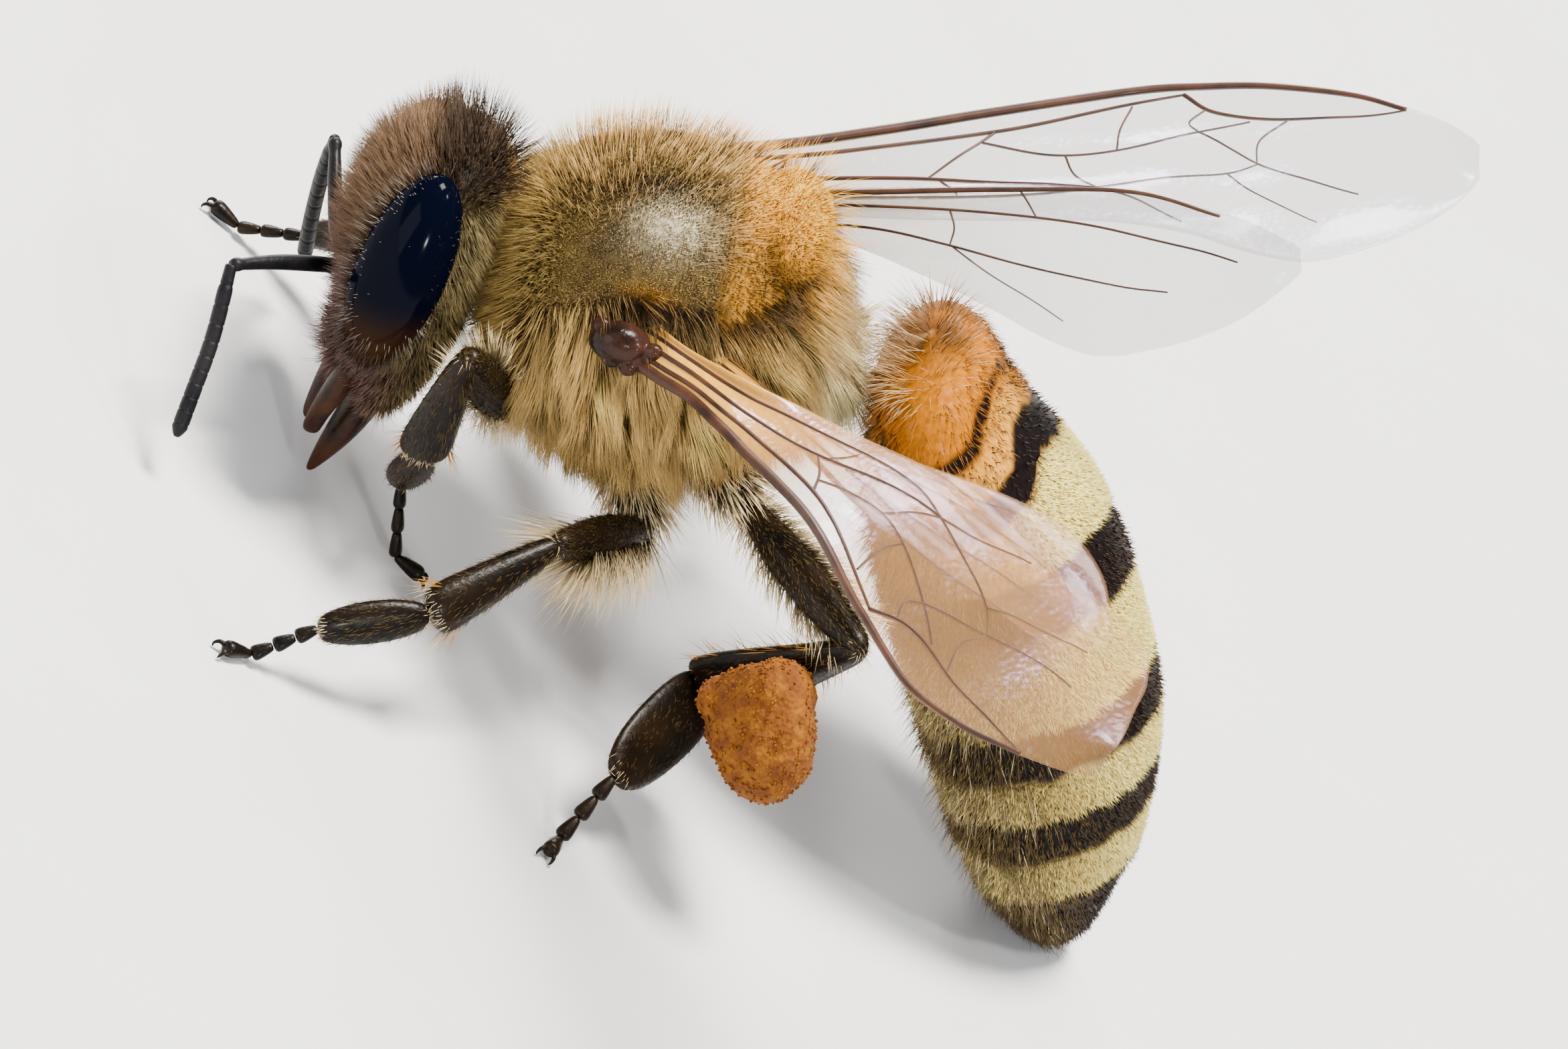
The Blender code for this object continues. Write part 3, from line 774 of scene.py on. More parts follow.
LAST_TOE = ((0.0, 0.05, 0.05), (0.2, 0.07, 0.07), (0.6, 0.1, 0.1), (0.9, 0.12, 0.11),
            (1.0, 0.07, 0.06))
FOOT_RISE, FOOT_LENGTH = 0.12, 0.4
KINDS = ("coxa", "thigh", "shin", "sole")


def direction(heading, slope):
    h, e = math.radians(heading), math.radians(slope)
    return Vector((math.cos(e) * math.cos(h), math.cos(e) * math.sin(h), math.sin(e)))


def leg_knots(name):
    root, *segments, (length, heading) = LEGS[name]
    knots = [BEE @ Vector(root)]
    for reach, turn, slope in segments:
        knots.append(knots[-1] + direction(turn, slope) * reach)
    drop = -math.degrees(math.asin((knots[-1].z - FOOT_RISE) / length))
    knots.append(knots[-1] + direction(heading, drop) * length)
    knots.append(knots[-1] + direction(heading, 0.0) * FOOT_LENGTH)
    return knots


def outward_of(name):
    """The way a leg's flat sides face: out from the body and a little up."""
    return Vector((0, 1 if name.endswith("left") else -1, 0.3)).normalized()


def limb_place(start, end, outward):
    """Axes of a segment: x across its width, y through its thickness, z down its length."""
    along = (end - start).normalized()
    thin = square_to(outward, along)
    return axes(thin.cross(along), thin, along, start)


def limb(name, start, end, shape, outward, sides=12, levels=2):
    span = (end - start).length
    stations = [(t * span, 0.0, 0.0, w, h) for t, w, h in shape]
    return loft(name, stations, limb_place(start, end, outward), sides, levels)


def claw(foot, heading, sign):
    """One hooked claw on the last toe."""
    ahead, up = direction(heading, 0), Vector((0, 0, 1))
    side = up.cross(ahead) * sign
    hook = ((-0.05, 0.04, 0.0), (0.03, 0.085, 0.0), (0.075, 0.1, 0.05), (0.07, 0.09, 0.095))
    path = [foot + ahead * a + side * s - up * drop for a, s, drop in hook]
    return tube(curve_through(path, 12), np.linspace(0.035, 0.008, 12), 8, up=(0.3, 0.2, 1))


leg_parts = {}
for name in LEGS:
    knots = leg_knots(name)
    hind = name.startswith("hind")
    shapes = (COXA, THIGH, HIND_SHIN if hind else SHIN, HIND_SOLE if hind else SOLE)
    made = []
    for kind, shape, start, end in zip(KINDS, shapes, knots, knots[1:]):
        made.append(limb("%s_%s" % (kind, name), start, end, shape, outward_of(name)))
    bend, foot, heading = knots[5], knots[6], LEGS[name][5][1]
    ends = [knots[4].lerp(bend, i / 3.0) for i in range(4)] + [foot]
    for shape, start, end in zip((TOE, TOE, TOE, LAST_TOE), ends, ends[1:]):
        made.append(limb("toe", start, end, shape, Vector((0, 0, 1)), 10, 1))
    made.append(mesh_from("claws", *pile([claw(foot, heading, s) for s in (1, -1)])))
    face_outwards(made[-1])
    leg_parts[name] = made
print("leg segments:", sum(len(v) for v in leg_parts.values()))

# %% [markdown]
# A bee carries pollen home as two pellets, packed of thousands of grains on the hind shins. The
# pellet is a swollen ball, roughened with a Displace modifier, and set all over with small loose
# grains so that its edge is granular too.

# %% Pollen pellets
POLLEN, tree, shader = new_material("packed pollen", 0.85, specular=0.25)
mottle(
    tree, shader, noise(tree, 5.0, 6.0, 0.7),
    (0.25, (0.055, 0.012, 0.0005)), (0.5, (0.15, 0.042, 0.0005)), (0.75, (0.27, 0.1, 0.001)),
)
bump(tree, shader, cells(tree, 16.0), 0.7, 0.03)
LOAD_OFFSET = Vector((-0.08, 0.86, -0.4))
LOAD_HANG = Vector((-0.57, 0.66, -0.5))
LOAD_STATIONS = [
    # distance down the pellet, half width along the shin, half depth
    (-0.86, 0.3, 0.22), (-0.78, 0.54, 0.38), (-0.5, 0.74, 0.5), (-0.1, 0.77, 0.54),
    (0.25, 0.66, 0.5), (0.5, 0.49, 0.41), (0.66, 0.3, 0.26), (0.73, 0.12, 0.12),
]


def load_place(knots, sign):
    """Axes of a pellet: x along the shin, y through its depth, z down the way it hangs."""
    mirror = Matrix.Diagonal((1, sign, 1))
    shin = (knots[3] - knots[2]).normalized()
    hang = square_to(mirror @ LOAD_HANG, shin)
    middle = (knots[2] + knots[3]) / 2 + mirror @ LOAD_OFFSET
    return axes(shin, hang.cross(shin), hang, middle)


GRAINS, GRAIN_SIZES, GRAIN_SINK = 900, (0.011, 0.024), 0.4
loads = {}
for side, sign in SIDES:
    place = load_place(leg_knots("hind_" + side), sign)
    pellet = loft("pellet", [(h, 0.0, 0.0, w, t) for h, w, t in LOAD_STATIONS], sides=20)
    lobes = [ball("lobe", (x, 0.0, -0.5), (0.36, 0.46, 0.36)) for x in (-0.38, 0.4)]
    pellet = melt(join(pellet, *lobes), voxel=0.045, passes=4)
    lumps = bpy.data.textures.new("lumps_" + side, "CLOUDS")
    lumps.noise_scale, lumps.noise_depth = 0.28, 3
    modify(pellet, "DISPLACE", texture=lumps, strength=0.14, mid_level=0.55)
    rng = np.random.default_rng(31 + sign)
    spots = np.array([v.co for v in pellet.data.vertices])
    faces_out = np.array([v.normal for v in pellet.data.vertices])
    use()
    bpy.ops.mesh.primitive_ico_sphere_add(subdivisions=1, radius=1.0)
    grain = bpy.context.object
    shape = np.array([v.co for v in grain.data.vertices])
    corners = [tuple(f.vertices) for f in grain.data.polygons]
    bpy.data.objects.remove(grain)
    shapes = []
    for i in rng.choice(len(spots), GRAINS, replace=False):
        size = rng.uniform(*GRAIN_SIZES)
        shapes.append((spots[i] + faces_out[i] * size * GRAIN_SINK + shape * size, corners))
    loose = mesh_from("loose", *pile(shapes))
    loose.data.transform(Matrix.Scale(1 / MM, 4))
    settle(pellet, place)
    settle(loose, place)
    loads[side] = named(join(pellet, loose), "pollen_pellet_" + side)
    dress(loads[side], POLLEN)
print("pellet faces:", len(loads["left"].data.polygons))

# %% [markdown]
# A wing is a sheet far thinner than paper, stretched on a net of brown veins. The sheet is a
# grid whose rows run between the leading and the trailing edge, gently corrugated, and given its
# thickness by Solidify. The veins are tubes that follow the same surface. The sheet is amber at
# its root and clear further out, where the banded tail shows through the near wing.

# %% Wing materials
MEMBRANE, tree, shader = new_material("wing membrane", 0.24, specular=0.35, coat=0.35)
fill(tree, shader, {
    "Coat Roughness": 0.08, "Thin Film Thickness": 420.0, "Thin Film IOR": 1.55,
    "Base Color": marked(tree), "Alpha": marked(tree, "veil", "Fac"),
})
hairlets, folds = cells(tree, 11.0), noise(tree, 0.9, 3.0)
relief = add(tree, "Math", {}, operation="MULTIPLY_ADD")
relief.inputs[1].default_value = 0.25
tree.links.new(hairlets, relief.inputs[0])
tree.links.new(folds, relief.inputs[2])
bump(tree, shader, relief.outputs["Value"], 0.5, 0.06)
VEIN, tree, shader = new_material("wing vein", 0.45, specular=0.2, coat=0.05)
mottle(tree, shader, noise(tree, 2.0), (0.3, (0.014, 0.005, 0.003)), (0.7, (0.06, 0.021, 0.009)))
print("wing finishes:", MEMBRANE.name, "and", VEIN.name)

# %% Wing shapes
FOREWING = {
    "edges": (
        # along the blade, leading edge, trailing edge
        (-0.1, -0.2, 0.3), (1.0, -0.28, 0.45), (2.2, -0.52, 0.66), (3.2, -0.8, 0.76),
        (4.2, -1.07, 0.82), (5.2, -1.32, 0.87), (6.1, -1.43, 1.15), (6.8, -1.46, 1.58),
        (7.45, -1.38, 1.8), (8.1, -1.18, 1.57), (8.7, -0.84, 1.18), (9.15, -0.5, 0.72),
        (9.4, -0.2, 0.35), (9.5, 0.0, 0.12),
    ),
    "veins": (
        (0.075, 0.03, ((-0.1, -0.15), (1.7, -0.37), (3.9, -0.94), (5.5, -1.32), (6.4, -1.4),
                       (7.2, -1.37), (8.1, -1.14), (8.7, -0.81))),
        (0.06, 0.03, ((0.0, -0.06), (2.0, -0.24), (4.0, -0.72), (5.4, -1.12), (6.15, -1.28))),
        (0.05, 0.022, ((6.15, -1.28), (6.5, -1.0), (7.2, -0.86), (8.0, -0.8), (8.7, -0.8))),
        (0.035, 0.025, ((3.95, -0.7), (3.65, -0.4), (3.15, 0.0))),
        (0.03, 0.022, ((3.8, -0.52), (4.6, -0.33), (5.4, -0.42), (6.3, -0.66), (6.9, -0.84))),
        (0.026, 0.024, ((5.55, -1.12), (5.4, -0.8), (5.35, -0.42))),
        (0.024, 0.022, ((6.4, -1.05), (6.2, -0.85), (6.3, -0.66))),
        (0.024, 0.02, ((6.3, -0.66), (6.7, -0.35), (7.3, 0.1), (8.1, 0.4))),
        (0.024, 0.018, ((7.35, -0.84), (7.0, -0.5), (6.95, -0.12))),
        (0.06, 0.03, ((0.0, 0.04), (1.6, 0.04), (3.15, 0.0), (4.4, 0.12), (5.1, 0.24))),
        (0.028, 0.022, ((4.75, -0.33), (4.85, -0.05), (5.1, 0.24))),
        (0.026, 0.018, ((5.1, 0.24), (5.9, 0.12), (6.6, 0.02), (6.95, -0.12))),
        (0.026, 0.018, ((5.1, 0.24), (5.55, 0.5), (6.05, 0.9))),
        (0.022, 0.014, ((6.6, 0.02), (6.9, 0.4), (7.6, 0.9))),
        (0.05, 0.024, ((0.0, 0.16), (1.8, 0.34), (3.4, 0.38), (4.4, 0.36), (5.1, 0.24))),
        (0.028, 0.024, ((3.3, 0.02), (3.45, 0.2), (3.5, 0.38))),
    ),
}
# the near blade is swung back about its root, so its edges run differently
SWUNG_EDGES = (
    (-0.1, -0.15, 0.25), (0.5, 0.02, 0.34), (1.0, 0.17, 0.52), (1.6, 0.12, 0.74),
    (2.2, 0.04, 0.94), (3.2, -0.18, 1.12), (4.2, -0.42, 1.34), (5.2, -0.66, 1.45),
    (6.1, -0.78, 1.72), (6.8, -0.84, 2.06), (7.45, -0.84, 2.2), (8.1, -0.58, 1.84),
    (8.6, -0.22, 1.36), (9.0, 0.14, 0.98), (9.22, 0.4, 0.74), (9.3, 0.52, 0.62),
)
HINDWING = {
    "edges": (
        (-0.1, -0.15, 0.3), (1.2, -0.06, 0.42), (2.3, -0.06, 0.89), (3.07, -0.06, 1.32),
        (3.7, -0.05, 1.7), (4.3, -0.02, 1.93), (4.9, 0.06, 1.86), (5.5, 0.25, 1.69),
        (6.0, 0.42, 1.44), (6.4, 0.64, 1.12), (6.62, 0.78, 0.9),
    ),
    "veins": (
        (0.045, 0.022, ((-0.1, -0.1), (1.2, -0.02), (3.2, -0.02), (4.7, 0.04), (5.7, 0.36))),
        (0.04, 0.022, ((0.0, 0.02), (1.6, 0.1), (2.9, 0.2), (4.1, 0.38), (5.3, 0.68), (5.9, 0.86))),
        (0.026, 0.022, ((3.4, -0.02), (3.5, 0.12), (3.6, 0.3))),
        (0.035, 0.02, ((0.0, 0.14), (1.5, 0.3), (2.5, 0.55), (3.4, 0.8), (4.5, 1.1), (5.1, 1.2))),
        (0.026, 0.02, ((2.6, 0.17), (2.65, 0.38), (2.6, 0.57))),
        (0.022, 0.014, ((2.6, 0.57), (3.2, 1.0), (3.9, 1.5))),
    ),
}
# root, direction of the blade, direction across it, rise of its arch
WINGS = {
    "forewing_right": ((0.1, -1.75, 0.35), (-0.97, -0.06, 0.23), (0.0, 1.0, 0.0), 0.0),
    "hindwing_right": ((-0.75, -1.45, 0.4), (-0.965, 0.0, 0.26), (0.0, 0.83, -0.54), 0.0),
    "forewing_left": ((0.1, 1.75, 0.35), (-0.541, 0.837, 0.089), (-0.83, -0.55, -0.091), 0.5),
    "hindwing_left": ((-0.86, 1.85, 0.34), (-0.546, 0.83, 0.11), (-0.83, -0.52, -0.18), 0.2),
}
ARCH_PEAK, ARCH_SPREAD = 4.8, 2.2
LEAN = 0.19  # the sheet climbs this far each way from its leading to its trailing edge
MEMBRANE_THICK = 0.02
MAIN_VEIN, OTHER_VEINS = 0.95, 0.55  # share of the radii that the table gives
SMOKE, CLEAR = np.array([0.4, 0.2, 0.07]), np.array([0.16, 0.155, 0.15])
ROOT_AMBER, STREAK = np.array([0.76, 0.37, 0.04]), np.array([0.1, 0.035, 0.01])
# how much a wing hides far out, and how much more it hides at its root
VEILS = {"forewing_left": (0.17, 0.68), "hindwing_left": (0.15, 0.2)}
FAR_VEIL = (0.22, 0.2)


def wing_place(name):
    root, along, chord = (Vector(v) for v in WINGS[name][:3])
    along.normalize()
    chord = square_to(chord, along)
    return BEE @ axes(along, chord, along.cross(chord), root)


def edges_at(edges, u):
    """Leading and trailing edge at each distance along the blade."""
    path = curve_through(edges, 240)
    order = np.argsort(path[:, 0])
    return [np.interp(u, path[order, 0], path[order, k]) for k in (1, 2)]


def share_across(edges, u, v):
    """0 on the leading edge, 1 on the trailing edge."""
    lead, trail = edges_at(edges, u)
    return (v - lead) / (trail - lead)


def place_across(edges, u, share):
    lead, trail = edges_at(edges, u)
    return lead + (trail - lead) * share


def wing_height(u, v, edges, rise, hinge):
    """The sheet's lean and arch, with pleats in front and a soft belly behind."""
    lead, trail = edges_at(edges, u)
    share = np.clip((v - lead) / (trail - lead), 0.0, 1.0)
    arch = rise * np.exp(-(((u - ARCH_PEAK) / ARCH_SPREAD) ** 2))
    pleat = 0.05 * np.sin(7.5 * v + 0.35 * u) * np.exp(-((u / 6.0) ** 2))
    belly = 0.06 * np.sin(0.75 * u + 1.2 * v) * ease(u, 1.5, 6.0) + 0.05 * (trail - lead)
    ripple = 0.02 * np.sin(4.0 * u + 2.0 * v) * ease(u, 3.0, 7.0)
    # a hinge lets the near hindwing lie flat at its root, under the forewing
    lean = LEAN * ease(u, 1.0, 3.5) if hinge else LEAN
    return arch + lean * (2 * share - 1) + 4 * share * (1 - share) * (pleat + belly + ripple)


def make_sheet(name, edges, height):
    use()
    bpy.ops.mesh.primitive_grid_add(x_subdivisions=120, y_subdivisions=28, size=2.0)
    sheet = named(bpy.context.object, name + "_membrane")
    flat = read(sheet.data.vertices, "co", 3) * 0.5 + 0.5
    start, end = edges[0][0], edges[-1][0]
    u = start + (end - start) * (1.0 - (1.0 - flat[:, 0]) ** 1.5)
    v = place_across(edges, u, flat[:, 1])
    move_points(sheet, np.stack([u, v, height(u, v)], axis=1))
    edit(sheet, bpy.ops.mesh.remove_doubles, threshold=0.0005)
    modify(sheet, "SOLIDIFY", thickness=MEMBRANE_THICK, offset=0.0)
    bpy.ops.object.shade_smooth()
    return sheet


def tint_sheet(sheet, name, edges):
    """Amber at the root, clear far out, a dark streak behind; the veil is how much it hides."""
    near = name.endswith("left")
    local = read(sheet.data.vertices, "co", 3)
    amber = 1.0 - ease(local[:, 0], 0.6, 4.6)
    tint = blend(SMOKE if near else CLEAR, (ROOT_AMBER, amber * (1.0 if near else 0.3)))
    across = share_across(edges, local[:, 0], local[:, 1])
    streak = hump(across, 0.86, 0.1) * amber * near
    mark(sheet, blend(tint, (STREAK, streak * 0.8)))
    low, gain = VEILS.get(name, FAR_VEIL)
    film = sheet.data.attributes.new("veil", "FLOAT", "POINT")
    film.data.foreach_set("value", (low + gain * amber).astype(np.float32))


def make_veins(name, kind, edges, height):
    """Tubes on the sheet; where its edges are swung, each vein keeps its share across."""
    shapes = []
    for number, (first, last, knots) in enumerate(kind["veins"]):
        path = curve_through(knots, 14 * len(knots))
        u, v = path[:, 0], path[:, 1]
        v = place_across(edges, u, share_across(kind["edges"], u, v))
        path = np.column_stack([u, v, height(u, v)])
        radii = np.linspace(first, last, len(path)) * (OTHER_VEINS if number else MAIN_VEIN)
        shapes.append(tube(path, radii, 8, up=(0.02, 0.03, 1)))
    veins = mesh_from(name + "_veins", *pile(shapes))
    face_outwards(veins)
    return veins


wings = {}
for name in WINGS:
    kind = FOREWING if name.startswith("fore") else HINDWING
    edges = SWUNG_EDGES if name == "forewing_left" else kind["edges"]
    rise, hinge = WINGS[name][3], name == "hindwing_left"

    def height(u, v):
        return wing_height(u, v, edges, rise, hinge)

    sheet = make_sheet(name, edges, height)
    tint_sheet(sheet, name, edges)
    settle(sheet, wing_place(name))
    dress(sheet, MEMBRANE)
    veins = make_veins(name, kind, edges, height)
    veins.data.transform(Matrix.Scale(MM, 4) @ wing_place(name) @ Matrix.Scale(1 / MM, 4))
    dress(veins, VEIN)
    wings[name] = (sheet, veins)
print("wing faces:", [len(p[0].data.polygons) for p in wings.values()])

# %% [markdown]
# Now the coat. Every hair is a slim three-sided spine with a point, rooted on a skin. A hair
# needs six things: a root, a way to grow, a length, a width, a bend, and its colours at root and
# tip. Roots are scattered evenly over the skin's area. The other five come from small rules about
# where on the bee the root lies. Arrays do all hairs of a coat at once, which takes a second or
# two, and the hairs are joined into a few meshes, as nothing smaller is needed to move them.


# %% Scatter roots over a skin
def unit(vectors):
    return vectors / np.maximum(np.linalg.norm(vectors, axis=-1, keepdims=True), 1e-9)


def scatter(skin, count, rng, place):
    """Roots, normals in the axes of place, and their places on the unwrap."""
    mesh = skin.data
    mesh.calc_loop_triangles()
    points = read(mesh.vertices, "co", 3) / MM
    normals = read(mesh.vertices, "normal", 3)
    corners = read(mesh.loop_triangles, "vertices", 3, np.int32)
    loops = read(mesh.loop_triangles, "loops", 3, np.int32)
    unwrap = read(mesh.uv_layers["Unwrap"].data, "uv", 2)
    a, b, c = (points[corners[:, k]] for k in range(3))
    area = np.linalg.norm(np.cross(b - a, c - a), axis=1)
    chosen = rng.choice(len(corners), count, p=area / area.sum())
    share = rng.dirichlet((1.0, 1.0, 1.0), count)[:, :, None]
    roots = (points[corners[chosen]] * share).sum(1)
    faces_out = (normals[corners[chosen]] * share).sum(1)
    spots = (unwrap[loops[chosen]] * share).sum(1)
    back = np.array(place.inverted())
    return seen_from(roots, place), unit(faces_out @ back[:3, :3].T), spots


def along_skin(way, normals):
    """The part of a direction that lies in the skin."""
    way = np.broadcast_to(np.asarray(way, float), normals.shape)
    return unit(way - normals * (way * normals).sum(1, keepdims=True))


print("scatter tools ready")

# %% Grow hairs from arrays
PATCH = 0.0015  # half the size of a hair's patch on the unwrap
COAT_LIMIT = 190_000  # triangles in one piece
CELL_SIZE = (0.24, 0.16)  # one leg segment's share of the unit square
LOWEST_HAIR = 0.01  # no hair goes below this height


def hair_corners(rings):
    """The triangles of one spine: its closed root, its rings and its point."""
    corners = [(0, 2, 1)]
    for k in range(rings - 1):
        for j in range(3):
            a, b = 3 * k + j, 3 * k + (j + 1) % 3
            corners += [(a, b, b + 3), (a, b + 3, a + 3)]
    last = 3 * rings - 3
    corners += [(last + j, last + (j + 1) % 3, 3 * rings) for j in range(3)]
    return np.array(corners)


def hair_mesh(name, hairs, rings):
    """One joined mesh of spines, closed at the root and pointed at the tip."""
    root, way, length, width, bend, low, high, spot = hairs
    count, per = len(root), 3 * rings + 1
    rng = np.random.default_rng(count)
    side = unit(np.cross(way, unit(rng.normal(size=way.shape))))
    over = np.cross(way, side)
    turns = 2 * math.pi * np.arange(3) / 3
    points = np.empty((count, per, 3))
    colours = np.ones((count, per, 4), np.float32)
    spread = np.empty((count, per, 2))
    for k in range(rings + 1):
        t = k / rings
        centre = root + way * (length * t)[:, None] + bend * (length * t * t)[:, None]
        shade = low + (high - low) * (t**0.8)
        if k == rings:
            points[:, -1], colours[:, -1, :3], spread[:, -1] = centre, shade, spot
            continue
        thick = width * (1.0 - t) ** 0.6
        for j, turn in enumerate(turns):
            offset = side * math.cos(turn) + over * math.sin(turn)
            points[:, 3 * k + j] = centre + offset * thick[:, None]
            colours[:, 3 * k + j, :3] = shade
            fan = PATCH * (1.0 - t) * np.array([math.cos(turn), math.sin(turn)])
            spread[:, 3 * k + j] = spot + fan
    points[..., 2] = np.maximum(points[..., 2], LOWEST_HAIR)
    index = (np.arange(count)[:, None, None] * per + hair_corners(rings)[None]).reshape(-1)
    mesh = bpy.data.meshes.new(name)
    mesh.vertices.add(count * per)
    mesh.vertices.foreach_set("co", (points * MM).astype(np.float32).ravel())
    mesh.loops.add(len(index))
    mesh.loops.foreach_set("vertex_index", index.astype(np.int32))
    mesh.polygons.add(len(index) // 3)
    mesh.polygons.foreach_set("loop_start", np.arange(0, len(index), 3, dtype=np.int32))
    mesh.update(calc_edges=True)
    mesh.polygons.foreach_set("use_smooth", [True] * len(mesh.polygons))
    layer = mesh.uv_layers.new(name="OFBake")
    layer.data.foreach_set("uv", spread.reshape(-1, 2)[index].astype(np.float32).ravel())
    store_colours(mesh, colours)
    mesh.validate()
    obj = bpy.data.objects.new(name, mesh)
    bpy.context.scene.collection.objects.link(obj)
    mesh.materials.append(COAT)
    return obj


def hairs_on(skin, count, place, seed, rule, cell=None):
    """The hairs of one skin, in the world; rule shapes those that it keeps."""
    rng = np.random.default_rng(seed)
    roots, normals, spots = scatter(skin, count, rng, place)
    if cell:
        spots = (spots + np.array(cell)) * np.array(CELL_SIZE) + 0.02
    keep, way, length, width, bend, low, high = rule(roots, normals, rng)
    turn = np.array(place)
    world = roots @ turn[:3, :3].T + turn[:3, 3]
    ways = unit(way) @ turn[:3, :3].T
    hairs = (world, ways, length, width, bend @ turn[:3, :3].T, low, high, spots)
    return [column[keep] for column in hairs]


coats = []


def grow(name, lots, rings):
    """Joins lots of hairs, and deals them out to pieces of a size that can be handled."""
    whole = [np.concatenate(columns) for columns in zip(*lots)]
    pieces = math.ceil(len(whole[0]) * (6 * rings - 2) / COAT_LIMIT)
    for number in range(pieces):
        part = [column[number::pieces] for column in whole]
        coats.append(hair_mesh("%s_%d" % (name, number + 1), part, rings))
    print(name, len(whole[0]), "hairs in", pieces, "pieces")


def spread_out(way, rng, amount):
    return unit(way + rng.normal(size=way.shape) * amount)

# %% [markdown]
# The thorax wears the plush. The dome of the back has a short mottled pile with longer hair
# standing along its crest, and on each side of the crest it is worn. There a pale patch of painted
# sheen stands for the shell glinting through. The cushion behind it is orange, with painted shadow
# under its rear edge, and the sides are long, pale and combed downwards. A groove with thinner
# hair runs from the wing to the cushion, darkened with painted shade.

# %% Markings, painted sheen and painted shade of the thorax
GOLD = np.array([0.6, 0.34, 0.06])
ORANGE = np.array([0.9, 0.4, 0.03])
CREAM = np.array([0.66, 0.42, 0.13])
PALE = np.array([0.92, 0.7, 0.38])
TAN = np.array([0.3, 0.195, 0.055])
UMBER = np.array([0.04, 0.02, 0.006])
OLIVE = np.array([0.29, 0.19, 0.048])
# the colour of the painted highlight on the dome, where the worn shell would shine
PAINTED_SHEEN = np.array([0.95, 0.86, 0.62])


def groove_height(f):
    return np.interp(f, (-1.9, -1.4, -0.9, 0.2, 0.75, 1.5), (0.9, 0.88, 0.72, 0.68, 0.44, -0.1))


def thorax_parts(p):
    """Shares of dome, rear cushion, front collar, groove (thinner hair, painted shade) and painted
    sheen at each point.
    """
    f, l, d = p[:, 0], np.abs(p[:, 1]), p[:, 2]
    above = d - groove_height(f)
    dome = ease(above, -0.05, 0.25)
    rear = ease(-f, 0.62, 1.05) * ease(above, -0.25, 0.05)
    collar = ease(f, 1.0, 1.5)
    # the groove thins the hair, and its colour is darkened with painted shade
    groove_and_shade = hump(above, 0.0, 0.15) * ease(-f, -0.9, -0.3) * ease(l, 0.6, 1.1)
    # painted highlight: a pale patch on each side of the dome's crest
    painted_sheen = hump(f, -0.05, 0.44) * hump(l, 0.98, 0.23) * dome
    return dome, rear, collar, groove_and_shade, painted_sheen


def thorax_colour(p):
    dome, rear, collar, groove_and_shade, painted_sheen = thorax_parts(p)
    f, l, d = p[:, 0], np.abs(p[:, 1]), p[:, 2]
    locks = 0.8 + 0.28 * waves(p * (1.0, 1.0, 0.45), 0.3, 6)
    spot = hump(f, 0.05, 0.3) * hump(d, 0.82, 0.1) * ease(l, 1.2, 1.5)
    # painted shadow under the cushion's rear edge, in two layers
    painted_fold_shadow = hump(d, 0.97, 0.13) * ease(l, 0.2, 0.6) * (1 - ease(l, 1.35, 1.6)) * ease(-f, 0.95, 1.2)
    painted_cushion_shadow = hump(f, -1.25, 0.5) * hump(d, 1.15, 0.32) * ease(l, 0.3, 0.7)
    return np.clip(blend(
        CREAM * locks[:, None],
        (TAN * (1.0 + 0.22 * waves(p, 0.16, 5))[:, None], dome),
        (GOLD, dome * ease(d, 1.8, 2.3) * 0.5),
        (OLIVE, collar * 0.9),
        (OLIVE, dome * ease(f, 0.7, 1.2) * 0.7),
        (GOLD, hump(f, 1.5, 0.2) * ease(d, 0.8, 1.1) * 0.6),
        (ORANGE * (1.0 - 0.15 * waves(p, 0.4, 7))[:, None], rear),
        (TAN * 0.2, dome * hump(f, 0.2, 0.8) * hump(l, 0.52, 0.24)),
        (TAN * 0.35, hump(f, 0.6, 0.35) * hump(l, 1.05, 0.32) * 0.6),
        (ORANGE * 0.75, spot),
        # painted highlight on the dome
        (PAINTED_SHEEN, painted_sheen * (0.8 + 0.2 * waves(p, 0.12, 8))),
        # painted shadow under the cushion's rear edge
        (UMBER * 2, painted_fold_shadow * 0.9),
        (PALE, ease(-f, 1.7, 2.2) * (1 - rear) * 0.7),
        # painted shadow on the lower part of the cushion
        (UMBER * 2.5, painted_cushion_shadow),
        # painted shade in the groove
        (UMBER, groove_and_shade * 0.95),
    ), 0.0, 1.0)


def hair_colours(tint, rng, low, high, vary=0.22):
    """Root and tip colours: dark roots, tips that vary from hair to hair."""
    shade = rng.uniform(1 - vary, 1 + vary, (len(tint), 1))
    return tint * low, np.clip(tint * shade * high, 0.0, 1.0)


def drift(p, size, seed):
    """A smooth field of directions, which gathers hairs into tufts."""
    return np.stack([waves(p, size, seed + k) for k in range(3)], axis=1)


def tufts(p, rng, count):
    """The way from each root to the middle of its tuft, and a shade for each tuft."""
    middles = p[rng.choice(len(p), count, replace=False)]
    shades = rng.uniform(-1, 1, count)
    nearest = np.concatenate([
        np.argmin(((lot[:, None] - middles[None]) ** 2).sum(2), axis=1)
        for lot in np.array_split(p, 40)
    ])
    return middles[nearest] - p, shades[nearest]


print("thorax marking tools ready")

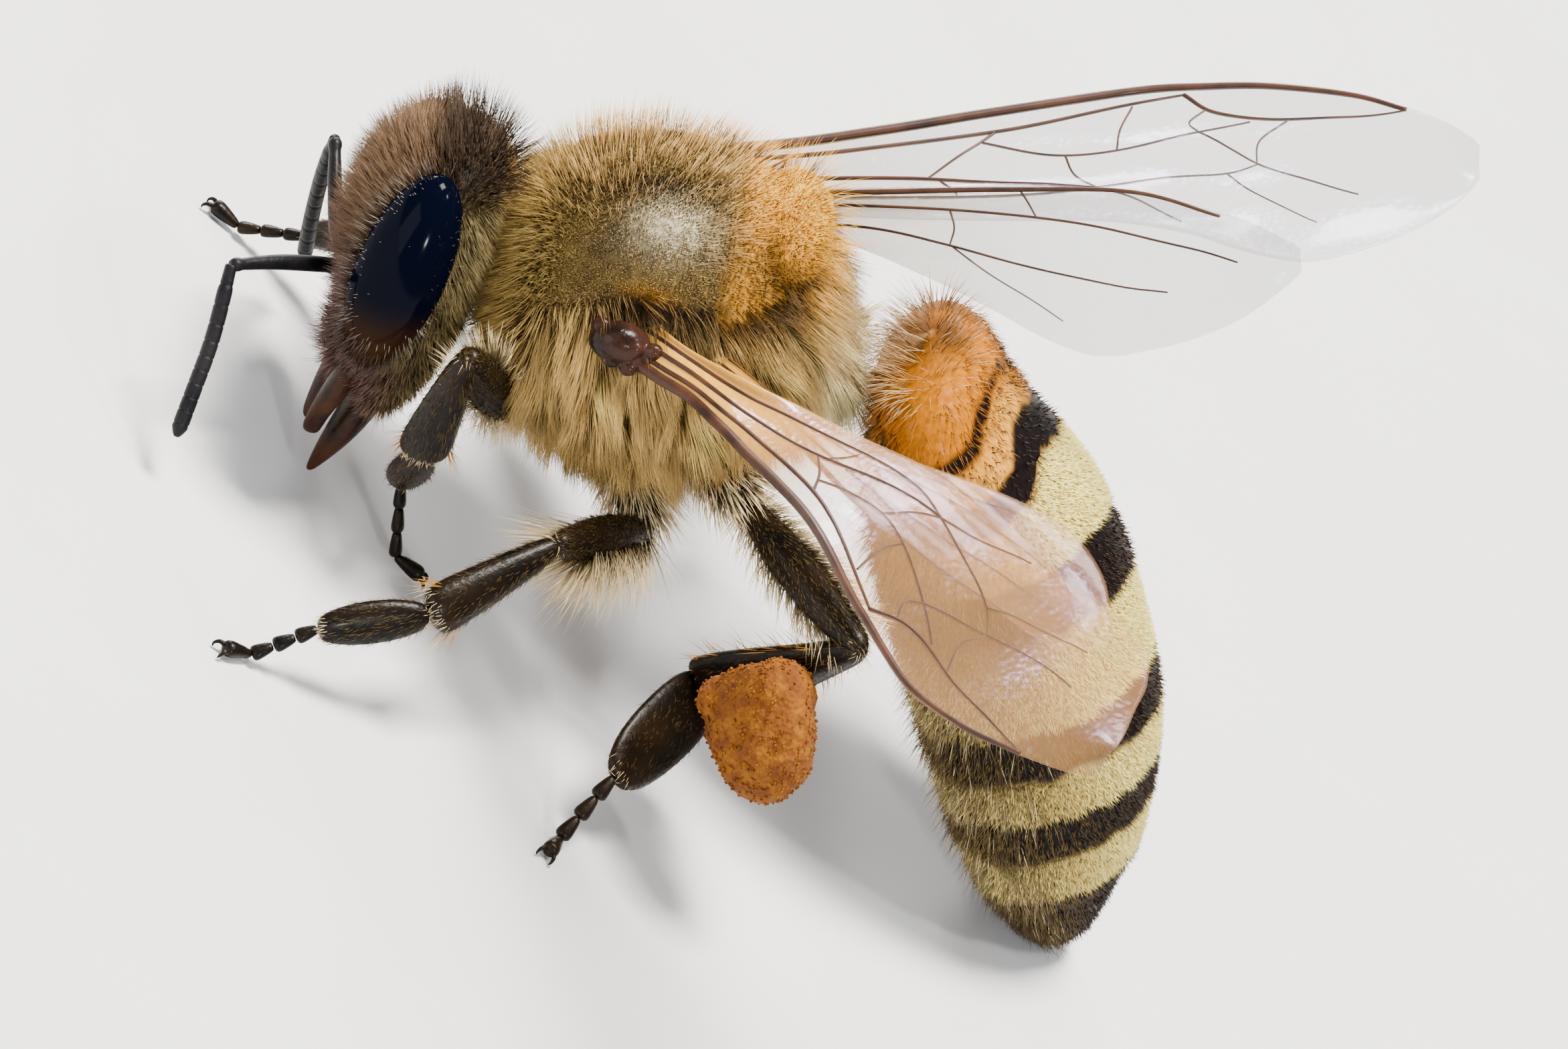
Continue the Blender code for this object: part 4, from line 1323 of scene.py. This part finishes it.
# %% Pile and long hair of the thorax
def thorax_pile(p, n, rng):
    """The short velvet of the dome and the cushion."""
    dome, rear, collar, groove_and_shade, painted_sheen = thorax_parts(p)
    count = len(p)
    keep = rng.random(count) < (0.15 + 0.85 * dome) * (1 - 0.7 * groove_and_shade)
    back = along_skin((-1.0, 0.0, -0.15), n)
    lean = 0.2 + 0.35 * rear - 0.3 * collar
    disc = dome * (1 - collar) * (1 - rear)
    way = spread_out(n * 0.9 + back * lean[:, None] + drift(p, 0.14, 11) * 0.16, rng, 0.22)
    length = (0.125 - 0.045 * rear + 0.1 * collar - 0.05 * disc) * rng.uniform(0.6, 1.25, count)
    width = (0.0052 + 0.001 * disc) * rng.uniform(0.8, 1.25, count)
    tint = thorax_colour(p)
    low, high = hair_colours(tint, rng, 0.42, 1.25, 0.55)
    # the hair roots are lightened too under the painted highlight
    return keep, way, length, width, np.zeros_like(n), blend(low, (tint, painted_sheen)), high


def thorax_long(p, n, rng):
    """Long hair: dense and gathered in tufts on the sides, standing on the dome's crest."""
    dome, rear, collar, groove_and_shade, _ = thorax_parts(p)
    side = (1 - dome) * (1 - collar)
    count = len(p)
    crest = dome * ease(p[:, 2], 0.95, 1.5)
    worn = hump(np.abs(p[:, 1]), 0.82, 0.5) * hump(p[:, 0], 0.05, 0.95)
    standing = crest * (0.5 - 0.35 * rear) * (1 - 0.85 * worn)
    share = np.maximum.reduce([side * (1 - 0.6 * groove_and_shade), collar * 0.8, rear * 0.1, standing])
    keep = rng.random(count) < share
    back, ahead, down = (
        along_skin(way, n) for way in ((-1.0, 0.0, -0.15), (0.6, 0.0, -0.8), (-0.5, 0.0, -1.0))
    )
    flow = unit(blend(back, (down, side), (ahead, collar * 0.8)))
    length = 0.44 + 0.16 * side - 0.06 * collar + 0.08 * crest
    to_tuft, tuft = tufts(p, rng, 520)
    gather = drift(p, 0.42, 15) * (0.12 + 0.14 * side)[:, None]
    gather += to_tuft * (side * 0.62 / length)[:, None]
    stand = n * (0.95 - 0.28 * side)[:, None]
    lie = flow * (0.16 + 0.55 * side + 0.2 * rear - 0.1 * crest)[:, None]
    way = spread_out(stand + lie + gather, rng, 0.06)
    length = length * rng.uniform(0.65, 1.15, count)
    width = (0.006 - 0.0016 * dome) * rng.uniform(0.8, 1.25, count)
    tint = thorax_colour(p) * (1.0 + side * (0.42 * tuft - 0.04))[:, None]
    tint = blend(tint, (PALE * (1.0, 0.76, 0.5), crest * (1 - rear) * 0.5))
    low, high = hair_colours(tint, rng, 0.2, 1.3)
    return keep, way, length, width, flow * 0.13 + np.array([0.0, 0.0, -0.05]), low, high


skin_points = seen_from(points_of(thorax), BEE)
dome, rear = thorax_parts(skin_points)[:2]
colour = thorax_colour(skin_points)
# the skin takes the same colours, painted sheen and painted shade included
mark(thorax, blend(colour * 0.16, (colour * 0.45, dome), (ORANGE * 0.5, rear * 0.8)))
grow("thorax_pile", [hairs_on(thorax, 100_000, BEE, 1, thorax_pile)], rings=1)
grow("thorax_long", [hairs_on(thorax, 54_000, BEE, 5, thorax_long)], rings=2)

# %% [markdown]
# The head's hair is finer and shorter. It stands up grey-brown on the face, is long and nearly
# black on the crown, and lies down behind the eyes. Fine down even grows between the eye's
# lenses, and catches the light round its rim.

# %% Markings and coat of the head
GREY_TAN = np.array([0.126, 0.072, 0.036])
MAUVE = np.array([0.1, 0.05, 0.04])
CROWN = np.array([0.05, 0.028, 0.014])
CHEEK = np.array([0.17, 0.125, 0.048])


def head_parts(p):
    """Shares of crown, back of the head, lower face and cheek at each point."""
    f, l, h = p[:, 0], np.abs(p[:, 1]), p[:, 2]
    crown = ease(h, 0.9, 1.25) * ease(-f, -0.35, 0.05)
    behind = ease(-f, -0.1, 0.3)
    low = 1 - ease(h, -0.5, 0.4)
    cheek = ease(l, 0.9, 1.25) * low * ease(-f, -0.35, 0.1)
    return crown, behind, low, cheek


def head_colour(p):
    crown, behind, low, cheek = head_parts(p)
    nape = ease(-p[:, 0], 0.5, 0.8) * ease(p[:, 2], 0.2, 0.7)
    base = blend(
        GREY_TAN, (MAUVE, low), (CHEEK, behind), (CHEEK * 0.8, cheek), (CROWN, crown),
        (GOLD * 0.6, nape * 0.8),
    )
    return base * (1.0 + 0.22 * waves(p, 0.3, 21))[:, None]


def head_pile(p, n, rng):
    """Fine hair over the whole head, shortest round the mouth and on the crown."""
    crown, behind, low, cheek = head_parts(p)
    count = len(p)
    up, down = along_skin((0.45, 0.0, 1.0), n), along_skin((0.25, 0.0, -1.0), n)
    nape = behind * (1 - crown)
    flow = unit(blend(up, (down, np.maximum(low * 0.8, nape))))
    lie = flow * (0.12 + 0.5 * behind * (1 - crown) + 0.35 * cheek)[:, None]
    way = n * (1 - 0.35 * cheek)[:, None] + lie + drift(p, 0.3, 31) * 0.13
    length = 0.34 - 0.22 * crown - 0.1 * low - 0.06 * behind * (1 - crown)
    length = length * rng.uniform(0.6, 1.15, count)
    width = 0.0044 * rng.uniform(0.8, 1.2, count)
    dark, light = hair_colours(head_colour(p), rng, 0.15, 1.5, 0.5)
    keep = rng.random(count) < 0.94
    return keep, spread_out(way, rng, 0.12), length, width, flow * 0.07, dark, light


def head_long(p, n, rng):
    """Sparse long hairs, tallest and darkest on the crown."""
    crown, behind, low, _ = head_parts(p)
    count = len(p)
    share = np.maximum(0.55 * crown, (1 - behind) * (1 - 0.7 * low))
    up = along_skin((0.35, 0.0, 1.0), n)
    way = spread_out(n + up * 0.35 + drift(p, 0.3, 34) * 0.15, rng, 0.1)
    length = (0.44 + 0.1 * crown - 0.08 * low) * rng.uniform(0.7, 1.15, count)
    width = 0.0046 * rng.uniform(0.8, 1.2, count)
    tint = blend(head_colour(p), (CROWN * 0.7, crown))
    dark, light = hair_colours(tint, rng, 0.3, 1.3, 0.4)
    return rng.random(count) < share, way, length, width, up * 0.06, dark, light


mark(head, head_colour(seen_from(points_of(head), HEAD)) * 0.2)
grow("head_pile", [hairs_on(head, 26_000, HEAD, 2, head_pile)], rings=2)
grow("head_long", [hairs_on(head, 13_000, HEAD, 8, head_long)], rings=3)


# %% Down of the eyes
DOWN = np.array([0.55, 0.5, 0.42])


def unwrap_ball(obj, place):
    """An eye's own unwrap: angle against height."""
    mesh = obj.data
    local = seen_from(points_of(obj), place)
    local[:, 1] -= math.copysign(EYE_CENTRE[1], local[:, 1].mean())
    turn = np.arctan2(local[:, 1], local[:, 0] - EYE_CENTRE[0]) / (2 * math.pi) + 0.5
    corner = read(mesh.loops, "vertex_index", 1, int)
    rise = (local[:, 2] - local[:, 2].min()) / np.ptp(local[:, 2])
    store_unwrap(mesh, turn[corner] * 0.9 + 0.05, rise[corner] * 0.9 + 0.05)


def eye_down(p, n, rng):
    """Down between the lenses, thickest low on the rim and towards the face."""
    count = len(p)
    x, y, z = EYE_CENTRE
    f, l, h = p[:, 0], p[:, 1] * np.sign(p[:, 1]), p[:, 2]
    rim = ease(np.linalg.norm(np.stack([f - x, (h - z) / 2.0], 1), axis=1), 0.34, 0.5)
    low = 1 - ease(h, -0.75, -0.2)
    inner = 1 - ease(l, y - 0.12, y + 0.06)
    edge = np.maximum(rim * low, inner * ease(f, x - 0.35, x))
    share = 0.004 + 0.22 * ease(rim, 0.7, 1.0) * ease(f, x - 0.1, x + 0.3) + 0.6 * edge
    keep = rng.random(count) < share
    way = n + np.array([0.2, 0.0, 0.0]) - low[:, None] * (0.0, 0.0, 0.8)
    way = spread_out(way, rng, 0.14)
    length = (0.045 + 0.15 * edge + 0.16 * inner) * rng.uniform(0.6, 1.2, count)
    width = 0.003 + 0.001 * edge
    tint = blend(DOWN, (head_colour(p) * 0.6, edge))
    dark, light = hair_colours(tint, rng, 0.3, 1.0, 0.4)
    return keep, way, length, width, np.zeros_like(n), dark, light


for eye in eyes:
    unwrap_ball(eye, HEAD)
lots = [hairs_on(eye, 4000, HEAD, seed, eye_down) for eye, seed in zip(eyes, (3, 4))]
grow("eye_down", lots, rings=2)

# %% [markdown]
# The tail's markings go by plates. Long pale hair stands over the amber first plates. Behind
# them each plate starts with a band of short cream felt and ends bare, black and shiny. On the
# flanks the felt runs out into longer, darker hair with a fine pale fringe.

# %% Markings and coat of the abdomen
AMBER = np.array([0.38, 0.122, 0.0002])
HONEY = np.array([0.55, 0.26, 0.035])
BLACK = np.array([0.006, 0.004, 0.004])
FELT = np.array([1.0, 0.76, 0.23])
BELLY = np.array([0.35, 0.17, 0.04])
FELT_BANDS = ((1.25, 2.3), (3.2, 4.3), (4.95, 5.5), (6.1, 6.75))
BLACK_BANDS = ((0.06, 0.26), (0.68, 1.24), (2.3, 3.15), (4.3, 4.92), (5.5, 6.1), (6.8, 8.2))


def in_bands(s, bands, soft):
    share = np.zeros(len(s))
    for start, end in bands:
        inside_band = ease(s, start - soft, start + soft) * (1 - ease(s, end - soft, end + soft))
        share = np.maximum(share, inside_band)
    return share


def abdomen_parts(p):
    """Distance along the plates, and shares of back and belly, at points in the tail's axes."""
    s = plate_place(p) + 0.04 * waves(p, 0.5, 41)
    s = s - 0.85 * ease(p[:, 0], 0.2, 1.7) * (1 - ease(p[:, 2], 0.7, 2.6))
    high = -p[:, 1] - smooth_table(p[:, 2], ABDOMEN_STATIONS, 1)
    angle = np.arctan2(high, np.abs(p[:, 0]))
    back = ease(angle, -0.75, -0.1)
    return s, back, angle


def abdomen_colour(p, felt_light=1.0):
    """Colour, and share of felt, at each point."""
    s, back, angle = abdomen_parts(p)
    spot = hump(p[:, 2], -0.45, 0.16) * hump(p[:, 0], 0.0, 0.5)
    flank = 1 - ease(angle, -0.5, 0.3)
    deep = ease(s, 2.0, 3.3)
    black = in_bands(s, BLACK_BANDS, 0.05) * (1 - 0.65 * flank * (1 - deep) * (s > 1.2))
    rear = ease(p[:, 2], 2.6, 3.7)
    on_back = ease(angle, 0.2 - 0.4 * rear, 0.85 - 0.3 * rear)
    felt = in_bands(s, FELT_BANDS, 0.06) * (1 - (1 - on_back) * (0.88 - 0.62 * rear))
    return blend(
        AMBER,
        (HONEY, ease(s, 0.1, 0.5)),
        (blend(HONEY * 0.65, (BLACK * 4, deep)), ease(s, 1.1, 1.4)),
        (BLACK, np.maximum(black, 0.8 * spot)),
        (FELT * felt_light, felt * back),
        (BELLY, (1 - ease(angle, -1.25, -0.75)) * 0.8),
    ), felt


def tail_felt(p, n, rng):
    """Very short felt on the bands, and a thin dark down between them."""
    s, back, angle = abdomen_parts(p)
    felt = abdomen_colour(p)[1]
    count = len(p)
    bare = 0.05 + 0.15 * ease(s, 2.0, 3.0) + 0.25 * ease(s, 5.4, 6.0)
    share = (bare + (1 - bare) * felt * (0.12 + 0.88 * back)) * (p[:, 2] > 0.2)
    keep = rng.random(count) < share
    rearward = along_skin((0.0, 0.0, 1.0), n)
    way = spread_out(n * 0.75 + rearward * 0.6 + drift(p, 0.1, 51) * 0.2, rng, 0.2)
    length = (0.1 + 0.05 * (1 - back)) * rng.uniform(0.6, 1.25, count)
    width = 0.0085 * rng.uniform(0.8, 1.25, count)
    brown = 0.85 * (1 - ease(angle, -0.2, 0.7)) * (rng.random(count) < 0.7)
    tint = blend(CROWN * 0.5, (FELT, np.clip(felt * 1.4, 0, 1)), (TAN * 0.55, brown))
    low, high = hair_colours(tint, rng, 0.65, 1.2, 0.3)
    return keep, way, length, width, np.zeros_like(n), low, high


def tail_hair(p, n, rng):
    """Pale hair over the front, and a fringe down the flanks and below."""
    s, _, angle = abdomen_parts(p)
    count, z = len(p), p[:, 2]
    front = 1 - ease(z, -0.42, -0.1)
    plates = (1 - ease(s, 0.55, 0.68)) * (1 - front)
    flank, under = 1 - ease(angle, -0.3, 0.25), 1 - ease(angle, -1.2, -0.8)
    share = np.maximum.reduce([front * 0.55, plates * 0.5, flank * (0.8 - 0.5 * under)])
    keep = rng.random(count) < share
    rearward = along_skin((0.0, 0.0, 1.0), n)
    stand = 0.4 + 0.6 * front + 0.05 * flank + 0.3 * under
    flow = rearward * (0.75 - 0.35 * front)[:, None]
    way = spread_out(n * stand[:, None] + flow + drift(p, 0.35, 61) * 0.16, rng, 0.13)
    length = 0.24 + 0.22 * front + 0.06 * flank + 0.08 * under - 0.06 * plates
    length = length * rng.uniform(0.6, 1.2, count)
    width = 0.0052 * rng.uniform(0.8, 1.2, count)
    dark = ease(s, 1.0, 2.4) * (1 - 0.2 * in_bands(s, FELT_BANDS, 0.1))
    tuft = hump(p[:, 0], 0.0, 0.45) * (1 - ease(z, -0.5, -0.25))
    tint = blend(
        PALE,
        (HONEY * 0.8, ease(z, 0.2, 0.9) * (1 - ease(z, 2.5, 3.5))),
        (TAN * 0.3, dark * (rng.random(count) < 0.92 - 0.3 * under)),
        (AMBER * 1.1, np.maximum(plates, front * ease(z, -0.65, -0.3) * 0.8)),
        (CROWN, tuft * (rng.random(count) < 0.6)),
    )
    low, high = hair_colours(tint, rng, 0.5, 1.0, 0.2)
    return keep, way, length, width, rearward * 0.12, low, high


skin_points = seen_from(points_of(abdomen), ABDOMEN)
mark(abdomen, np.clip(abdomen_colour(skin_points, 0.5)[0], 0, 1))
grow("tail_felt", [hairs_on(abdomen, 130_000, ABDOMEN, 6, tail_felt)], rings=1)
grow("tail_hair", [hairs_on(abdomen, 26_000, ABDOMEN, 7, tail_hair)], rings=2)

# %% [markdown]
# The legs are nearly bare at the front and fringed behind. Short bristles lie along the shell
# towards the foot, and long pale hairs stand out below the thighs, longest on the middle pair.
# The rim of a hind shin, which holds the pollen like a basket, has long curved hairs.


# %% Coat of the legs
HAIRS = {"coxa": 1200, "thigh": 2400, "shin": 1000, "sole": 700}
FRINGE, MIDDLE_FRINGE, RIM_FRINGE, BRISTLE = 0.42, 0.85, 0.3, 0.1  # lengths


def leg_rule(kind, name):
    hind, middle = name.startswith("hind"), name.startswith("mid")
    sign = 1 if name.endswith("left") else -1
    upper = kind in ("coxa", "thigh")
    reach = FRINGE if upper else RIM_FRINGE
    if kind == "thigh" and middle:
        reach = MIDDLE_FRINGE

    def long_hairs(t, n, rng):
        """Which hairs belong to the fringe; t runs from 0 to 1 down the segment."""
        if kind == "coxa":
            return rng.random(len(t)) < 0.8
        if kind == "thigh":
            below = n[:, 0] * sign > 0.15 if middle else n[:, 1] < 0.35
            share, end = (0.85 if hind or middle else 0.5), (0.85 if hind else 0.7)
            return (rng.random(len(t)) < share) & (t < end) & below
        if kind == "shin":
            start = 0.2 if hind else 0.85
            return (rng.random(len(t)) < 0.8) & (np.abs(n[:, 0]) > 0.75) & (t > start)
        return np.zeros(len(t), bool)

    def rule(p, n, rng):
        count = len(p)
        down = along_skin((0.0, 0.0, 1.0), n)
        t = (p[:, 2] - p[:, 2].min()) / np.ptp(p[:, 2])
        fringe = long_hairs(t, n, rng)
        length = np.where(fringe, reach, BRISTLE) * rng.uniform(0.6, 1.2, count)
        stand = np.where(fringe, 0.75, 0.35)
        way = spread_out(n * stand[:, None] + down * 0.7, rng, 0.15)
        width = np.where(fringe, 0.0076 if upper and (hind or middle) else 0.005, 0.004)
        rims = ((t > 0.93) | (t < 0.04)) & (not upper)
        tint = np.where(fringe[:, None], PALE if upper else ORANGE * 0.8, TAN * 0.35)
        tint = np.where(rims[:, None], PALE, tint)
        tint = np.clip(tint * rng.uniform(0.6, 1.2, (count, 1)), 0, 1)
        keep = fringe | rims | (rng.random(count) < 0.6)
        return keep, way, length, width, down * 0.2, tint * 0.45, tint

    return rule


CLEARANCE = 0.03  # a hair whose tip would come nearer to the floor is left out
leg_lots = []
for row, name in enumerate(LEGS):
    knots = leg_knots(name)
    for column, kind in enumerate(KINDS):
        place = limb_place(knots[column], knots[column + 1], outward_of(name))
        seed = 100 + row * 10 + column
        rule, part = leg_rule(kind, name), leg_parts[name][column]
        lot = hairs_on(part, HAIRS[kind], place, seed, rule, (column, row))
        above = lot[0][:, 2] + lot[1][:, 2] * lot[2] > CLEARANCE
        leg_lots.append([values[above] for values in lot])
grow("leg_hair", leg_lots, rings=2)
legs = {}
for name, parts in leg_parts.items():
    legs[name] = named(join(*parts), "leg_%s_shell" % name)
    dress(legs[name], LEG_SHELL)
    keep_above_floor(legs[name])
print("legs joined:", len(legs))

# %% [markdown]
# Every piece now rides on the one still body, and the solids that it stands for are hidden. A
# mounted insect has no moving parts, so there are no joints to follow.

# %% Tie the pieces to the frame
PIECES = [
    (thorax, "fur", ("thorax", "scutellum")),
    (head, "face", ("head",)),
    (abdomen, "band", tuple("abdomen_%d" % n for n in range(1, 7))),
    (eyes[0], "eye", ("eye_left",)),
    (eyes[1], "eye", ("eye_right",)),
    (simple_eyes, "eye", ()),
    (tongue, "shell", ("proboscis",)),
]
for side, _ in SIDES:
    PIECES += [
        (feelers["scape", side], "shell", ("scape_" + side,)),
        (feelers["whip", side], "shell", ("flagellum_" + side,)),
        (jaws[side], "shell", ("mandible_" + side,)),
        (tegulae[side], "shell", ("tegula_" + side,)),
        (loads[side], "pollen", ("pollen_load_" + side,)),
    ]
for name, (sheet, veins) in wings.items():
    PIECES += [(sheet, "wing", (name,)), (veins, "wing", ())]
for name, leg in legs.items():
    segments = ("coxa", "femur", "tibia", "basitarsus", "tarsus")
    PIECES.append((leg, "shell", tuple("%s_%s" % (kind, name) for kind in segments)))
PIECES += [(coat, "fur", ()) for coat in coats]
for piece, finish, solids in PIECES:
    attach(piece, "root")
    if solids:
        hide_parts(*solids)
total = 0
for piece, finish, solids in PIECES:
    piece.data.calc_loop_triangles()
    total += len(piece.data.loop_triangles)
print("pieces:", len(PIECES), "triangles:", total)

# %% [markdown]
# The bee stands on a plain pale floor. A large soft lamp hangs above it like the sky over a
# flower. Small ones draw the rims, light the far wing and put a glint in the eye, and a weak wide
# one fills the shadows. The camera looks from the bee's left, a little from above, and is rolled
# so that the bee seems to hang from a flower.

# %% Floor
FLOOR_SIZE = 3.0
use()
bpy.ops.mesh.primitive_plane_add(size=FLOOR_SIZE)
floor = named(bpy.context.object, "studio_floor")
material, tree, shader = new_material("floor paper", 0.9, specular=0.1)
mottle(tree, shader, noise(tree, 0.3), (0.3, (0.6, 0.6, 0.61)), (0.7, (0.63, 0.63, 0.64)))
dress(floor, material)
print("floor:", floor.name)

# %% Light and camera
world = bpy.data.worlds.new("studio")
bpy.context.scene.world = world
world.use_nodes = True
backdrop = world.node_tree.nodes["Background"]
fill(world.node_tree, backdrop, {"Color": (0.93, 0.96, 1.0, 1.0), "Strength": 0.42})
TOWARD = Vector((0.307, 0.83, 0.471)).normalized()
RIGHT = square_to(Vector((-0.793, -0.05, 0.606)), TOWARD)
UP = TOWARD.cross(RIGHT)
LAMP_DISTANCE = 0.25


def lamp(name, way, power, size, colour):
    """A square soft lamp, facing the bee."""
    data = bpy.data.lights.new(name, "AREA")
    data.energy, data.size, data.color = power, size, colour
    obj = bpy.data.objects.new(name, data)
    bpy.context.scene.collection.objects.link(obj)
    way = way.normalized()
    turn = way.to_track_quat("Z", "Y").to_matrix().to_4x4()
    obj.matrix_world = Matrix.Translation(way * LAMP_DISTANCE) @ turn


lamp("sky_lamp", RIGHT * 0.55 + UP * 0.75 + TOWARD * 0.45, 2.85, 0.08, (1.0, 0.96, 0.88))
lamp("side_lamp", RIGHT * 0.85 + UP * 0.3 + TOWARD * 0.45, 0.25, 0.02, (1.0, 0.98, 0.95))
lamp("rim_lamp", Vector((0.05, -0.94, 0.35)), 0.26, 0.05, (1.0, 0.97, 0.93))
lamp("far_lamp", Vector((0.384, -0.83, 0.401)), 0.5, 0.04, (1.0, 1.0, 1.0))
lamp("eye_lamp", Vector((-0.221, 0.892, 0.395)), 0.3, 0.016, (1.0, 1.0, 1.0))
lamp("fill_lamp", RIGHT * -0.5 + UP * 0.1 + TOWARD * 0.9, 0.3, 0.15, (0.95, 0.97, 1.0))
FOCAL, SENSOR, STAND_OFF = 322.0, 36.0, 160.0
AIM_RIGHT, AIM_UP = 1.576, -2.740  # what the camera looks at, from the middle of the thorax
camera_data = bpy.data.cameras.new("camera")
camera_data.lens, camera_data.sensor_width = FOCAL, SENSOR
camera_data.clip_start, camera_data.clip_end = 0.01, 10.0
camera = bpy.data.objects.new("camera", camera_data)
bpy.context.scene.collection.objects.link(camera)
aim = Vector(THORAX_PLACE) + RIGHT * AIM_RIGHT + UP * AIM_UP
camera.matrix_world = axes(RIGHT, UP, TOWARD, (aim + TOWARD * STAND_OFF) * MM)
bpy.context.scene.camera = camera
print("camera stands at", [round(v, 3) for v in camera.matrix_world.translation])

# %% Finish
print("finished")
